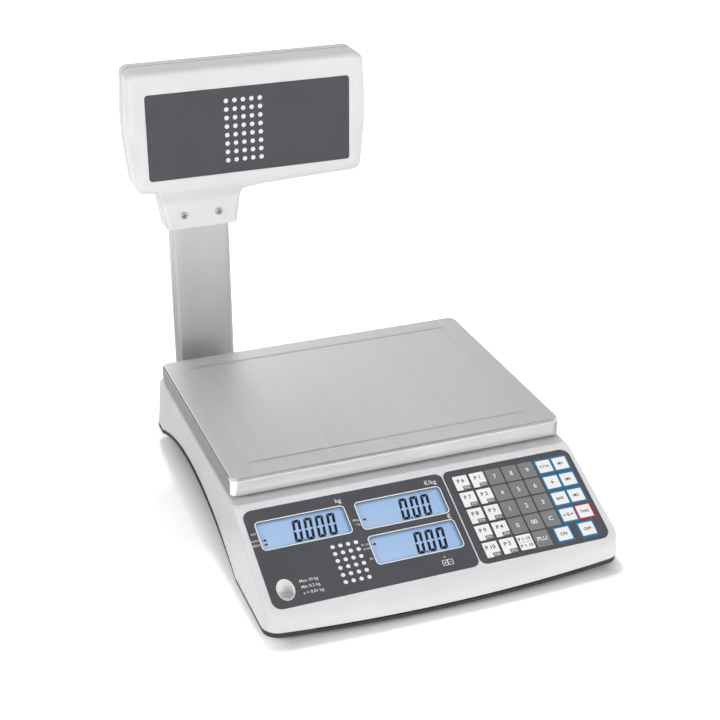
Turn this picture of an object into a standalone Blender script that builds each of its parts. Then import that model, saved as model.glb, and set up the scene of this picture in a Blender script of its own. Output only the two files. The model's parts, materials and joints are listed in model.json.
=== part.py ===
"""Retail price scale: a counter scale with a sloping console and a customer display on a column.

Units are metres. X runs to the operator's right, Y away from the operator and Z up from the counter.
Sizes are given about the centre of the weighing pan, and scale_frame carries the whole model so
that the origin lies under the middle of the object's box.
"""

from math import atan, cos, pi, radians, sin, tan

import bmesh
import bpy
from mathutils import Vector

for old in list(bpy.data.objects):
    bpy.data.objects.remove(old)

# Clearances
PART_GAP = 0.0003
FIT = 0.0003
CUT_MARGIN = 0.002
BITE = 0.001
THIN_BITE = 0.00025
LEAST_STEP = 0.0001

# Upper housing
DECK_HEIGHT = 0.066
HOUSING_WALL = 0.003
HOUSING_FRONT = -0.2195
HOUSING_REAR = 0.1310
FRONT_HALF_WIDTH = 0.1545
REAR_TAPER = 0.0015
FRONT_BOW = 0.011
FRONT_CORNER = 0.012
REAR_CORNER = 0.010
WALL_DRAFT = 0.065
REAR_DRAFT = 0.17
SIDE_EDGE = 0.0035
FRONT_EDGE = 0.009
CREASE_Y = -0.1282
CREASE_BLEND = 0.003
CONSOLE_FOOT = 0.0236

# Lower edge of the housing, arched at both sides for the fingers
FRONT_LEG = 0.0075
REAR_LEG = 0.0185
ARCH_FRONT = -0.137
ARCH_CREST_Y = 0.006
ARCH_CREST = 0.0385
ARCH_REAR = 0.107

# Weighing pan, set in from the sides of the housing and raised above its deck
PAN_MARGIN = 0.006
PAN_DEPTH = 0.228
PAN_RISE = 0.018
PAN_SKIRT = 0.0155
PAN_SHEET = 0.001
PAN_CORNER = 0.007
PAN_EDGE = 0.0028
GROOVE_INSET = 0.0195
GROOVE_WIDTH = 0.0045
GROOVE_DEPTH = 0.0007

# Base tray
TRAY_INSET = 0.0006
TRAY_BOTTOM = 0.0026
TRAY_FLOOR = 0.003
LEG_EDGE = 0.0050
ARCH_EDGE = 0.0022
GRIP_DEPTH = 0.0365
BELLY_WALL = 0.0025

# Levelling feet, set in from the edges of the housing
FOOT_RADIUS = 0.014
FOOT_STEM = 0.003
FOOT_STEM_LENGTH = 0.018
FOOT_BOSS = 0.0075
FOOT_BOSS_HEIGHT = 0.012
FOOT_FRONT_SIDE_INSET = 0.0325
FOOT_FRONT_INSET = 0.0335
FOOT_REAR_SIDE_INSET = 0.053
FOOT_REAR_INSET = 0.027

# Load cell and pan support
CELL_LENGTH = 0.130
CELL_WIDTH = 0.030
CELL_HEIGHT = 0.022
CELL_BOTTOM = 0.020
CELL_BORE = 0.0075
CELL_BORE_SPACING = 0.030
PEDESTAL_LENGTH = 0.034
SUPPORT_GAP = 0.0006
SUPPORT_PLATE = 0.006
SUPPORT_CLEARANCE = 0.004
SUPPORT_ARM = 0.026
SUPPORT_SIDE_INSET = 0.0365
SUPPORT_END_INSET = 0.034
SUPPORT_BOSS = 0.014
SUPPORT_PAD = 0.010
DECK_HOLE = 0.018

# Console overlays, set in from the edges of the console
OVERLAY_MARGIN = 0.0089
OVERLAY_TOP = 0.0043
OVERLAY_FOOT = 0.0042
OVERLAY_SPLIT = 0.0279
OVERLAY_JOIN = 0.0016
OVERLAY_CORNER = 0.008
OVERLAY_INNER_CORNER = 0.006
OVERLAY_THICKNESS = 0.001

# Operator display windows, from the edges of the display overlay
WINDOW_LEFT_MARGIN = 0.0076
WINDOW_RIGHT_MARGIN = 0.0061
WINDOW_GAP = 0.0102
WINDOW_TOP_MARGIN = 0.0123
WINDOW_HEIGHT = 0.0258
WINDOW_ROW_GAP = 0.0078
WINDOW_CORNER = 0.0028
LCD_BORDER = 0.0016
LCD_THICKNESS = 0.005
BOARD_THICKNESS = 0.0016
BOARD_EDGE = 0.003
BOARD_SPARE = 0.009
BOARD_POST = 0.003
BOARD_NOTCH_MARGIN = 0.006

# Spirit level, seen through a round window near the lower left corner of the display overlay
LEVEL_SIDE_INSET = 0.0138
LEVEL_FOOT_INSET = 0.0157
LEVEL_HALF_WIDTH = 0.0073
LEVEL_HALF_DEPTH = 0.0088
LEVEL_FIT = 0.0006
LEVEL_DEPTH = 0.0075
LEVEL_HEIGHT = 0.009
LEVEL_EDGE = 0.0008
LEVEL_SLEEVE = 0.0018

# Keys, from the edges of the keypad overlay
KEY_PROUD = 0.00015
KEY_TRAVEL = 0.0004
KEY_STOP = 0.00015
KEY_CLEARANCE = 0.0003
KEY_CORNER = 0.0006
KEY_COLUMNS = 7
KEY_ROWS = 5
KEY_LEFT_MARGIN = 0.0062
KEY_RIGHT_MARGIN = 0.0032
KEY_TOP_MARGIN = 0.0058
KEY_FOOT_MARGIN = 0.00265
FUNCTION_GAP = 0.0014
KEY_SPACE = 0.0012
KEY_ROW_SPACE = 0.00135
FUNCTION_SPACE = 0.0018
FUNCTION_ROW_SPACE = 0.00405
SWITCH_INSET = 0.0118
SWITCH_PITCH = 0.0220

# Battery and power socket
BATTERY_LENGTH = 0.101
BATTERY_WIDTH = 0.070
BATTERY_HEIGHT = 0.047
BATTERY_SIDE_INSET = 0.010
BATTERY_CELL_GAP = 0.004
BATTERY_EDGE = 0.002
SOCKET_SIDE_INSET = 0.048
SOCKET_Z = 0.036
SOCKET_BARREL = 0.0055
SOCKET_BORE = 0.0032
SOCKET_BLOCK_WIDTH = 0.016
SOCKET_BLOCK_DEPTH = 0.012
SOCKET_BLOCK_HEIGHT = 0.014
SOCKET_PROUD = 0.0008

# Column
COLUMN_SIDE_INSET = 0.0545
COLUMN_WIDTH = 0.0545
COLUMN_DEPTH = 0.018
COLUMN_WALL = 0.0015
COLUMN_CORNER = 0.004
COLUMN_INTO_HEAD = 0.045
HOLDER_WALL = 0.0028
HOLDER_TOP = 0.042
HOLDER_FLOOR = 0.008
HOLDER_REACH = 0.022

# Customer display head
HEAD_OFFSET = 0.0474
HEAD_BOTTOM = 0.2455
HEAD_HEIGHT = 0.110
HEAD_HALF_WIDTH = 0.1110
HEAD_TOP_TAPER = 0.0030
HEAD_BOTTOM_TAPER = 0.0055
HEAD_SAG = 0.004
HEAD_THICKNESS = 0.041
HEAD_REAR_DEPTH = 0.016
HEAD_WALL = 0.0025
HEAD_CORNER = 0.008
HEAD_SIDE_BOW = 0.250
HEAD_SAG_BOW = 0.600
HEAD_EDGE = 0.005
HEAD_CORNER_EDGE = 0.007
HEAD_FOOT_EDGE = 0.010
NECK_OFFSET = 0.0010
NECK_LENGTH = 0.038
NECK_DEPTH = 0.028
NECK_HALF_WIDTH = 0.0332
NECK_SHOULDER = 0.0372
NECK_CORNER = 0.005
FLARE_DROP = 0.014
FLARE_FLUSH = 0.002
FLARE_RISE = 0.008
FLARE_SPREAD = 0.0058
FLARE_SWEEP = 0.050
FLARE_SINK = 0.00015
SCOOP_RADIUS = 0.028
SCOOP_DEPTH = 0.0013
SCOOP_SIDE_INSET = 0.005
SCOOP_BOTTOM = 0.012
SCOOP_TOP = 0.062
SCOOP_RUNOUT = 0.014
PANEL_OFFSET = -0.0005
PANEL_SIDE_MARGIN = 0.0170
PANEL_TOP_MARGIN = 0.0198
PANEL_FOOT_MARGIN = 0.0122
PANEL_CORNER = 0.003
PANEL_THICKNESS = 0.0008
CUSTOMER_WINDOW_GAP = 0.0105
CUSTOMER_LCD_THICKNESS = 0.005
CUSTOMER_POST_SIDE_INSET = 0.012
CUSTOMER_POST_END_INSET = 0.006

# Neck screws
SCREW_HEAD = 0.0033
SCREW_HEAD_HEIGHT = 0.0016
SCREW_DOME = 0.6
SCREW_SHANK = 0.0016
SCREW_SPACING = 0.0326
SCREW_RISE = 0.0128

# Smoothness of round stretches
CORNER_STEPS = 6
FILLET_STEPS = 4
FLARE_STEPS = 10
ROUND_STEPS = 24
SMALL_ROUND_STEPS = 12
SCOOP_STEPS = 96
COARSE_STEPS = 2
ARCH_STEPS = 8

# Sizes of the base that follow from the ones above
SLOPE = (DECK_HEIGHT - CONSOLE_FOOT) / (CREASE_Y - HOUSING_FRONT)
CONSOLE_SLOPE = atan(SLOPE)
REAR_HALF_WIDTH = FRONT_HALF_WIDTH - REAR_TAPER
PAN_WIDTH = 2 * (FRONT_HALF_WIDTH - PAN_MARGIN)
PAN_TOP = DECK_HEIGHT + PAN_RISE
BELLY_HALF_WIDTH = FRONT_HALF_WIDTH - GRIP_DEPTH
FLOOR_TOP = TRAY_BOTTOM + TRAY_FLOOR
CELL_TOP = CELL_BOTTOM + CELL_HEIGHT
CELL_FREE_X = CELL_LENGTH / 2 - PEDESTAL_LENGTH / 2
SUPPORT_BOTTOM = DECK_HEIGHT + SUPPORT_CLEARANCE
SUPPORT_REACH_X = PAN_WIDTH / 2 - SUPPORT_SIDE_INSET
SUPPORT_REACH_Y = PAN_DEPTH / 2 - SUPPORT_END_INSET
BATTERY_X = BATTERY_SIDE_INSET - BELLY_HALF_WIDTH + BATTERY_LENGTH / 2
BATTERY_Y = CELL_WIDTH / 2 + BATTERY_CELL_GAP + BATTERY_WIDTH / 2
SOCKET_X = REAR_HALF_WIDTH - SOCKET_SIDE_INSET

# Places on the console: right of its middle, and down from the top edge of the overlays
OVERLAY_LENGTH = (CREASE_Y - HOUSING_FRONT) / cos(CONSOLE_SLOPE) - OVERLAY_TOP - OVERLAY_FOOT
DISPLAY_LEFT = OVERLAY_MARGIN - FRONT_HALF_WIDTH
DISPLAY_RIGHT = OVERLAY_SPLIT - OVERLAY_JOIN / 2
KEYPAD_LEFT = OVERLAY_SPLIT + OVERLAY_JOIN / 2
KEYPAD_RIGHT = FRONT_HALF_WIDTH - OVERLAY_MARGIN
POCKET_DEPTH = OVERLAY_THICKNESS + PART_GAP
WINDOW_SPACE = DISPLAY_RIGHT - DISPLAY_LEFT - WINDOW_LEFT_MARGIN - WINDOW_GAP - WINDOW_RIGHT_MARGIN
WINDOW_WIDTH = WINDOW_SPACE / 2
WEIGHT_U = DISPLAY_LEFT + WINDOW_LEFT_MARGIN + WINDOW_WIDTH / 2
PRICE_U = DISPLAY_RIGHT - WINDOW_RIGHT_MARGIN - WINDOW_WIDTH / 2
UPPER_ROW_V = WINDOW_TOP_MARGIN + WINDOW_HEIGHT / 2
LOWER_ROW_V = UPPER_ROW_V + WINDOW_HEIGHT + WINDOW_ROW_GAP
LEVEL_U = DISPLAY_LEFT + LEVEL_SIDE_INSET
LEVEL_V = OVERLAY_LENGTH - LEVEL_FOOT_INSET
LEVEL_TOP = DECK_HEIGHT - (OVERLAY_TOP + LEVEL_V) * sin(CONSOLE_SLOPE) - LEVEL_DEPTH
LCD_TOP = -POCKET_DEPTH
BOARD_TOP = LCD_TOP - LCD_THICKNESS - PART_GAP
BOARD_LEFT = WEIGHT_U - WINDOW_WIDTH / 2 - BOARD_EDGE
BOARD_RIGHT = PRICE_U + WINDOW_WIDTH / 2 + BOARD_EDGE
BOARD_BACK = BOARD_EDGE
BOARD_FRONT = LOWER_ROW_V + WINDOW_HEIGHT / 2 + BOARD_SPARE
BOARD_NOTCH_U = LEVEL_U + LEVEL_HALF_WIDTH + LEVEL_SLEEVE + BOARD_NOTCH_MARGIN
BOARD_NOTCH_V = LEVEL_V - LEVEL_HALF_DEPTH - BOARD_NOTCH_MARGIN
KEY_SPAN = KEYPAD_RIGHT - KEYPAD_LEFT - KEY_LEFT_MARGIN - KEY_RIGHT_MARGIN - FUNCTION_GAP
KEY_PITCH = KEY_SPAN / KEY_COLUMNS
KEY_ROW_PITCH = (OVERLAY_LENGTH - KEY_TOP_MARGIN - KEY_FOOT_MARGIN) / KEY_ROWS
KEY_THICKNESS = POCKET_DEPTH + KEY_PROUD - KEY_TRAVEL - KEY_STOP
KEY_SIZE = (KEY_PITCH - KEY_SPACE, KEY_ROW_PITCH - KEY_ROW_SPACE)
FUNCTION_KEY = (KEY_PITCH - FUNCTION_SPACE, KEY_ROW_PITCH - FUNCTION_ROW_SPACE)

# Places of the column and the head
COLUMN_X = COLUMN_SIDE_INSET - REAR_HALF_WIDTH
COLUMN_FRONT = HOUSING_REAR + PART_GAP + HOLDER_WALL + FIT
COLUMN_Y = COLUMN_FRONT + COLUMN_DEPTH / 2
COLUMN_PLACE = (COLUMN_X, COLUMN_Y, 0.0)
HOLDER_CORNER = COLUMN_CORNER + HOLDER_WALL
COLUMN_BOTTOM = HOLDER_FLOOR + PART_GAP
NECK_BOTTOM = HEAD_BOTTOM - NECK_LENGTH
NECK_FRONT = COLUMN_Y - NECK_DEPTH / 2
COLUMN_TOP = NECK_BOTTOM + COLUMN_INTO_HEAD
HEAD_X = COLUMN_X + HEAD_OFFSET
HEAD_TOP = HEAD_BOTTOM + HEAD_HEIGHT
HEAD_FRONT = COLUMN_Y - HEAD_THICKNESS / 2
HEAD_REAR = COLUMN_Y + HEAD_THICKNESS / 2
HEAD_SEAM = HEAD_REAR - HEAD_REAR_DEPTH
PANEL_X = HEAD_X + PANEL_OFFSET
PANEL_WIDTH = 2 * (HEAD_HALF_WIDTH - PANEL_SIDE_MARGIN)
PANEL_HEIGHT = HEAD_HEIGHT - PANEL_TOP_MARGIN - PANEL_FOOT_MARGIN
PANEL_Z = HEAD_BOTTOM + PANEL_FOOT_MARGIN + PANEL_HEIGHT / 2
CUSTOMER_WINDOW_WIDTH = (PANEL_WIDTH - 4 * CUSTOMER_WINDOW_GAP) / 2
CUSTOMER_WINDOW_HEIGHT = (PANEL_HEIGHT - 3 * CUSTOMER_WINDOW_GAP) / 2
CUSTOMER_POST_X = PANEL_WIDTH / 2 - CUSTOMER_POST_SIDE_INSET
CUSTOMER_POST_Z = PANEL_HEIGHT / 2 - CUSTOMER_POST_END_INSET
SCREW_Z = NECK_BOTTOM + SCREW_RISE
FACING_OPERATOR = (pi / 2, 0.0, 0.0)
FACING_CUSTOMER = (pi / 2, 0.0, pi)


# Materials

def material(name, colour, roughness, metallic=0.0):
    """A Principled material with a plain colour."""
    made = bpy.data.materials.new(name)
    made.use_nodes = True
    shader = made.node_tree.nodes["Principled BSDF"]
    shader.inputs["Base Color"].default_value = (*colour, 1.0)
    shader.inputs["Roughness"].default_value = roughness
    shader.inputs["Metallic"].default_value = metallic
    return made


WHITE_PLASTIC = material("white_plastic", (0.76, 0.76, 0.77), 0.45)
DARK_PLASTIC = material("dark_plastic", (0.05, 0.05, 0.055), 0.6)
OVERLAY_FILM = material("overlay_film", (0.098, 0.100, 0.105), 0.4)
STEEL = material("steel", (0.62, 0.62, 0.61), 0.35, 1.0)
ALUMINIUM = material("aluminium", (0.70, 0.71, 0.72), 0.45, 1.0)
LCD_GLASS = material("lcd_glass", (0.38, 0.57, 0.83), 0.2)
CIRCUIT_BOARD = material("circuit_board", (0.03, 0.16, 0.07), 0.5)
KEY_WHITE = material("key_white", (0.85, 0.85, 0.86), 0.4)
KEY_GREY = material("key_grey", (0.20, 0.20, 0.205), 0.4)
RUBBER = material("rubber", (0.03, 0.03, 0.03), 0.8)
LEVEL_CLEAR = material("level_clear", (0.72, 0.80, 0.55), 0.15)
BATTERY_CASE = material("battery_case", (0.10, 0.10, 0.11), 0.5)


# Helpers that make meshes

def loft(loops):
    """Quads between loops of equal length, with a flat face on each end."""
    bm = bmesh.new()
    rings = [[bm.verts.new(point) for point in loop] for loop in loops]
    for low, high in zip(rings, rings[1:]):
        bridge(bm, low, high)
    bm.faces.new(rings[0][::-1])
    bm.faces.new(rings[-1])
    return bm


def bridge(bm, low, high):
    """Quads between two rings of vertices."""
    count = len(low)
    for i in range(count):
        j = (i + 1) % count
        bm.faces.new((low[i], low[j], high[j], high[i]))


def ladder(bm, ring):
    """Close a ring that mirrors itself left to right with faces that run straight across."""
    count = len(ring)
    for i in range(count // 2 - 1):
        bm.faces.new((ring[i], ring[i + 1], ring[count - 2 - i], ring[count - 1 - i]))


def open_shell(outer, inner):
    """A walled shell: outer and inner loops both start at the open edge."""
    bm = bmesh.new()
    outer_rings = [[bm.verts.new(point) for point in loop] for loop in outer]
    inner_rings = [[bm.verts.new(point) for point in loop] for loop in inner]
    for rings in (outer_rings, inner_rings):
        for low, high in zip(rings, rings[1:]):
            bridge(bm, low, high)
        ladder(bm, rings[-1])
    bridge(bm, outer_rings[0], inner_rings[0])
    return bm


def prism(outline, low, high):
    """An outline in X and Y, raised from low to high."""
    return loft([[(x, y, z) for x, y in outline] for z in (low, high)])


def box(low, high):
    """A box between two corners."""
    outline = ((low[0], low[1]), (high[0], low[1]), (high[0], high[1]), (low[0], high[1]))
    return prism(outline, low[2], high[2])


def oval(half_width, half_depth, centre=(0.0, 0.0), steps=ROUND_STEPS):
    """Points round an ellipse."""
    angles = [2 * pi * i / steps for i in range(steps)]
    return [(centre[0] + half_width * cos(a), centre[1] + half_depth * sin(a)) for a in angles]


def circle(radius, centre=(0.0, 0.0), steps=ROUND_STEPS):
    """Points round a circle."""
    return oval(radius, radius, centre, steps)


def turned(profile, steps=ROUND_STEPS):
    """A solid turned about Z from (radius, height) points that run from bottom to top."""
    return loft([[(x, y, z) for x, y in circle(r, steps=steps)] for r, z in profile])


def rounded_polygon(corners, steps=CORNER_STEPS):
    """Round each (x, y, radius) corner of a polygon with an arc."""
    points = []
    count = len(corners)
    for i, (x, y, radius) in enumerate(corners):
        corner = Vector((x, y))
        back = (Vector(corners[i - 1][:2]) - corner).normalized()
        ahead = (Vector(corners[(i + 1) % count][:2]) - corner).normalized()
        half = back.angle(ahead) / 2
        centre = corner + (back + ahead).normalized() * radius / sin(half)
        start = corner + back * radius / tan(half) - centre
        sweep = start.angle_signed(corner + ahead * radius / tan(half) - centre)
        for k in range(steps + 1):
            angle = -sweep * k / steps
            turned_x = start.x * cos(angle) - start.y * sin(angle)
            turned_y = start.x * sin(angle) + start.y * cos(angle)
            points.append((centre.x + turned_x, centre.y + turned_y))
    return points


def rounded_rectangle(width, height, radius, centre=(0.0, 0.0), steps=CORNER_STEPS):
    """A rectangle with round corners, mirrored left to right from its first point to its last."""
    x, y = width / 2, height / 2
    corners = ((x, y, radius), (x, -y, radius), (-x, -y, radius), (-x, y, radius))
    return [(centre[0] + px, centre[1] + py) for px, py in rounded_polygon(corners, steps)]


def inset_loop(points, inset):
    """Move each edge of a clockwise loop inward by the same distance."""
    moved = []
    count = len(points)
    for i in range(count):
        here = Vector(points[i])
        before = (here - Vector(points[i - 1])).normalized()
        after = (Vector(points[(i + 1) % count]) - here).normalized()
        mitre = Vector((before.y + after.y, -before.x - after.x)) / (1 + before.dot(after))
        distance = inset[i] if isinstance(inset, list) else inset
        moved.append(tuple(here + mitre * distance))
    return moved


def ease(share):
    """A share from 0 to 1 that starts and ends gently."""
    share = min(1.0, max(0.0, share))
    return share * share * (3 - 2 * share)


# Helpers that make objects

def empty(name, parent, location, rotation=(0.0, 0.0, 0.0)):
    """A frame that other objects are placed in."""
    made = bpy.data.objects.new(name, None)
    return place(made, parent, location, rotation)


def place(made, parent, location, rotation):
    """Put an object in the scene under its parent."""
    bpy.context.collection.objects.link(made)
    made.parent = parent
    made.location = location
    made.rotation_euler = rotation
    return made


def solid(name, bm, look, parent, location=(0.0, 0.0, 0.0), rotation=(0.0, 0.0, 0.0)):
    """A named object with its faces pointing out, smooth where it is round."""
    bmesh.ops.recalc_face_normals(bm, faces=bm.faces)
    mesh = bpy.data.meshes.new(name)
    bm.to_mesh(mesh)
    bm.free()
    mesh.shade_smooth()
    mesh.set_sharp_from_angle(angle=radians(30))
    if look:
        mesh.materials.append(look)
    return place(bpy.data.objects.new(name, mesh), parent, location, rotation)


def boolean(target, operation, bm, parent, location=(0.0, 0.0, 0.0), rotation=(0.0, 0.0, 0.0)):
    """Cut, add or keep the overlap of a hidden tool shape on an object."""
    tool_name = f"{target.name}.tool.{len(target.modifiers)}"
    tool = solid(tool_name, bm, None, parent, location, rotation)
    tool.hide_render = True
    tool.display_type = "WIRE"
    modifier = target.modifiers.new(tool_name, "BOOLEAN")
    modifier.operation = operation
    modifier.solver = "EXACT"
    modifier.object = tool


def merge(meshes):
    """One mesh from several that don't touch each other."""
    joined = bmesh.new()
    for bm in meshes:
        mesh = bpy.data.meshes.new("merge")
        bm.to_mesh(mesh)
        bm.free()
        joined.from_mesh(mesh)
        bpy.data.meshes.remove(mesh)
    return joined


# Places

def on_console(u, v):
    """A point of the console, from its middle and from the top edge of the overlays."""
    return u, -OVERLAY_TOP - v


# Upper housing

def housing_outline():
    """Plan of the housing at its lower edge: straight sides, round corners and a bowed front."""
    corners = (
        (REAR_HALF_WIDTH, HOUSING_REAR, REAR_CORNER),
        (FRONT_HALF_WIDTH, HOUSING_FRONT, FRONT_CORNER),
        (-FRONT_HALF_WIDTH, HOUSING_FRONT, FRONT_CORNER),
        (-REAR_HALF_WIDTH, HOUSING_REAR, REAR_CORNER),
    )
    arcs = rounded_polygon(corners)
    rear_arc = arcs[:CORNER_STEPS + 1]
    front_arc = arcs[CORNER_STEPS + 1:2 * (CORNER_STEPS + 1)]
    side = []
    for y in side_stations(rear_arc[-1][1], front_arc[0][1]):
        share = (y - HOUSING_FRONT) / (HOUSING_REAR - HOUSING_FRONT)
        side.append((FRONT_HALF_WIDTH + share * (REAR_HALF_WIDTH - FRONT_HALF_WIDTH), y))
    steps = 2 * CORNER_STEPS
    front = [(front_arc[-1][0] * (1 - (i + 0.5) / steps), HOUSING_FRONT) for i in range(steps)]
    bowed = [(x, y - FRONT_BOW * (1 - (x / FRONT_HALF_WIDTH) ** 2)) for x, y in front_arc + front]
    half = rear_arc + side + bowed
    return half + [(-x, y) for x, y in reversed(half)]


def side_stations(rear, front):
    """Places along a side where the edge above or below it changes."""
    stations = [CREASE_Y + CREASE_BLEND * k / 2 for k in (2, 1, 0, -1, -2)]
    for start, end in ((ARCH_REAR, ARCH_CREST_Y), (ARCH_CREST_Y, ARCH_FRONT)):
        stations += [start + (end - start) * k / ARCH_STEPS for k in range(ARCH_STEPS)]
    stations.append(ARCH_FRONT)
    return sorted((y for y in stations if front < y < rear), reverse=True)


def lower_edge(y):
    """Height of the housing's lower edge at a place along its side."""
    leg, end = (REAR_LEG, ARCH_REAR) if y > ARCH_CREST_Y else (FRONT_LEG, ARCH_FRONT)
    share = min(1.0, (y - ARCH_CREST_Y) / (end - ARCH_CREST_Y))
    return ARCH_CREST - (ARCH_CREST - leg) * share ** 2


def top_height(y):
    """Height of the housing's top: the deck, a soft crease and the sloping console."""
    ahead = CREASE_Y - y
    if ahead > CREASE_BLEND:
        return DECK_HEIGHT - SLOPE * ahead
    if ahead < -CREASE_BLEND:
        return DECK_HEIGHT
    return DECK_HEIGHT - SLOPE * (ahead + CREASE_BLEND) ** 2 / (4 * CREASE_BLEND)


def edge_radius(x, y):
    """Rounding along the top edge, widest at the middle of the bowed front."""
    if y > HOUSING_FRONT + FRONT_CORNER:
        return SIDE_EDGE
    return SIDE_EDGE + (FRONT_EDGE - SIDE_EDGE) * (1 - (x / FRONT_HALF_WIDTH) ** 2)


def wall_inset(y, z):
    """How far the wall leans in at a height: a little at the sides, more at the rear."""
    rear_share = max(0.0, 1 - (HOUSING_REAR - y) / REAR_CORNER)
    return (WALL_DRAFT + (REAR_DRAFT - WALL_DRAFT) * rear_share) * (z - FRONT_LEG)


def inset_plan(outline, inset, wall):
    """The plan moved in by an amount at each point, with its two rear corners drawn anew."""
    points = list(inset_loop(outline, inset))
    back, aside = inset[0], inset[CORNER_STEPS]
    radius = max(REAR_CORNER - (back + aside) / 2, SIDE_EDGE - wall)
    x, y = REAR_HALF_WIDTH - aside - radius, HOUSING_REAR - back - radius
    for step in range(CORNER_STEPS + 1):
        angle = pi / 2 * (1 - step / CORNER_STEPS)
        points[step] = (x + radius * cos(angle), y + radius * sin(angle))
        points[-1 - step] = (-points[step][0], points[step][1])
    return points


def housing_loops(outline, wall):
    """Loops from the lower edge up the drafted wall and over the rounded edge to the top."""
    drop = wall / cos(CONSOLE_SLOPE)
    bottoms = [lower_edge(y) for _, y in outline]
    radii = [max(edge_radius(x, y) - wall, PART_GAP) for x, y in outline]
    lean = [wall_inset(y, bottom) + wall for (_, y), bottom in zip(outline, bottoms)]
    loops = [[(x, y, z) for (x, y), z in zip(inset_plan(outline, lean, wall), bottoms)]]
    for step in range(FILLET_STEPS + 1):
        angle = pi / 2 * step / FILLET_STEPS
        inset = []
        for (x, y), radius in zip(outline, radii):
            height = top_height(y) - drop - radius
            inset.append(wall_inset(y, height) + wall + radius * (1 - cos(angle)))
        points = inset_plan(outline, inset, wall)
        loops.append([
            (x, y, top_height(y) - drop - radius * (1 - sin(angle)))
            for (x, y), radius in zip(points, radii)
        ])
    return loops


def overlay_outline(left, right, radius_left, radius_right, grow=0.0):
    """Outline of an overlay on the console, from its left and right edges."""
    top, bottom = -OVERLAY_TOP + grow, -OVERLAY_TOP - OVERLAY_LENGTH - grow
    corners = (
        (right + grow, top, radius_right),
        (right + grow, bottom, radius_right),
        (left - grow, bottom, radius_left),
        (left - grow, top, radius_left),
    )
    return rounded_polygon(corners)


def display_outline(grow=0.0):
    """Outline of the overlay round the operator's displays."""
    return overlay_outline(DISPLAY_LEFT, DISPLAY_RIGHT, OVERLAY_CORNER, OVERLAY_INNER_CORNER, grow)


def keypad_outline(grow=0.0):
    """Outline of the overlay round the keys."""
    return overlay_outline(KEYPAD_LEFT, KEYPAD_RIGHT, OVERLAY_INNER_CORNER, OVERLAY_CORNER, grow)


def lcd_outline(window, grow=0.0):
    """Outline of an operator display on the console, wider than its window by a border."""
    width = WINDOW_WIDTH + 2 * (LCD_BORDER + grow)
    height = WINDOW_HEIGHT + 2 * (LCD_BORDER + grow)
    return rounded_rectangle(width, height, WINDOW_CORNER, on_console(*window), COARSE_STEPS)


WINDOWS = {
    "lcd_weight": (WEIGHT_U, UPPER_ROW_V),
    "lcd_unit_price": (PRICE_U, UPPER_ROW_V),
    "lcd_total": (PRICE_U, LOWER_ROW_V),
}
LEVEL_PLACE = (LEVEL_U, CREASE_Y - (OVERLAY_TOP + LEVEL_V) * cos(CONSOLE_SLOPE))


def level_outline(grow=0.0):
    """Outline of the window over the spirit level, seen from above."""
    return oval(LEVEL_HALF_WIDTH + grow, LEVEL_HALF_DEPTH + grow, LEVEL_PLACE)


def post_places():
    """Where the posts of the console board stand."""
    left, right = BOARD_LEFT + BOARD_POST, BOARD_RIGHT - BOARD_POST
    back, front = BOARD_BACK + BOARD_POST, BOARD_FRONT - BOARD_POST
    return (left, back), (right, back), (BOARD_NOTCH_U + BOARD_POST, front), (right, front)


def make_housing():
    """White upper housing with its console pockets, display openings and deck hole."""
    outline = housing_outline()
    housing = solid(
        "top_housing",
        open_shell(housing_loops(outline, 0.0), housing_loops(outline, HOUSING_WALL)),
        WHITE_PLASTIC,
        scale_frame,
    )
    wall_bottom = -HOUSING_WALL + BITE
    posts = [
        prism(circle(BOARD_POST, on_console(*at), SMALL_ROUND_STEPS), BOARD_TOP + PART_GAP, wall_bottom)
        for at in post_places()
    ]
    boolean(housing, "UNION", merge(posts), console_frame)
    sleeve_bottom = LEVEL_TOP - LEVEL_HEIGHT / 2
    sleeve_top = top_height(LEVEL_PLACE[1]) - HOUSING_WALL
    sleeve = prism(level_outline(LEVEL_SLEEVE), sleeve_bottom, sleeve_top)
    boolean(housing, "UNION", sleeve, scale_frame)
    for outline_of in (display_outline, keypad_outline):
        pocket = prism(outline_of(FIT), -POCKET_DEPTH, CUT_MARGIN)
        boolean(housing, "DIFFERENCE", pocket, console_frame)
    for window in WINDOWS.values():
        opening = prism(lcd_outline(window, FIT), -HOUSING_WALL - CUT_MARGIN, CUT_MARGIN)
        boolean(housing, "DIFFERENCE", opening, console_frame)
    level_hole = prism(level_outline(), sleeve_bottom - CUT_MARGIN, DECK_HEIGHT)
    boolean(housing, "DIFFERENCE", level_hole, scale_frame)
    deck_hole = prism(circle(DECK_HOLE, (CELL_FREE_X, 0.0)), CELL_TOP, DECK_HEIGHT + CUT_MARGIN)
    boolean(housing, "DIFFERENCE", deck_hole, scale_frame)
    socket_hole = prism(circle(SOCKET_BARREL + FIT), -CUT_MARGIN, HOUSING_WALL + CUT_MARGIN * 2)
    at = (SOCKET_X, HOUSING_REAR - wall_inset(HOUSING_REAR, SOCKET_Z), SOCKET_Z)
    boolean(housing, "DIFFERENCE", socket_hole, scale_frame, at, FACING_OPERATOR)


# Base tray

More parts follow.
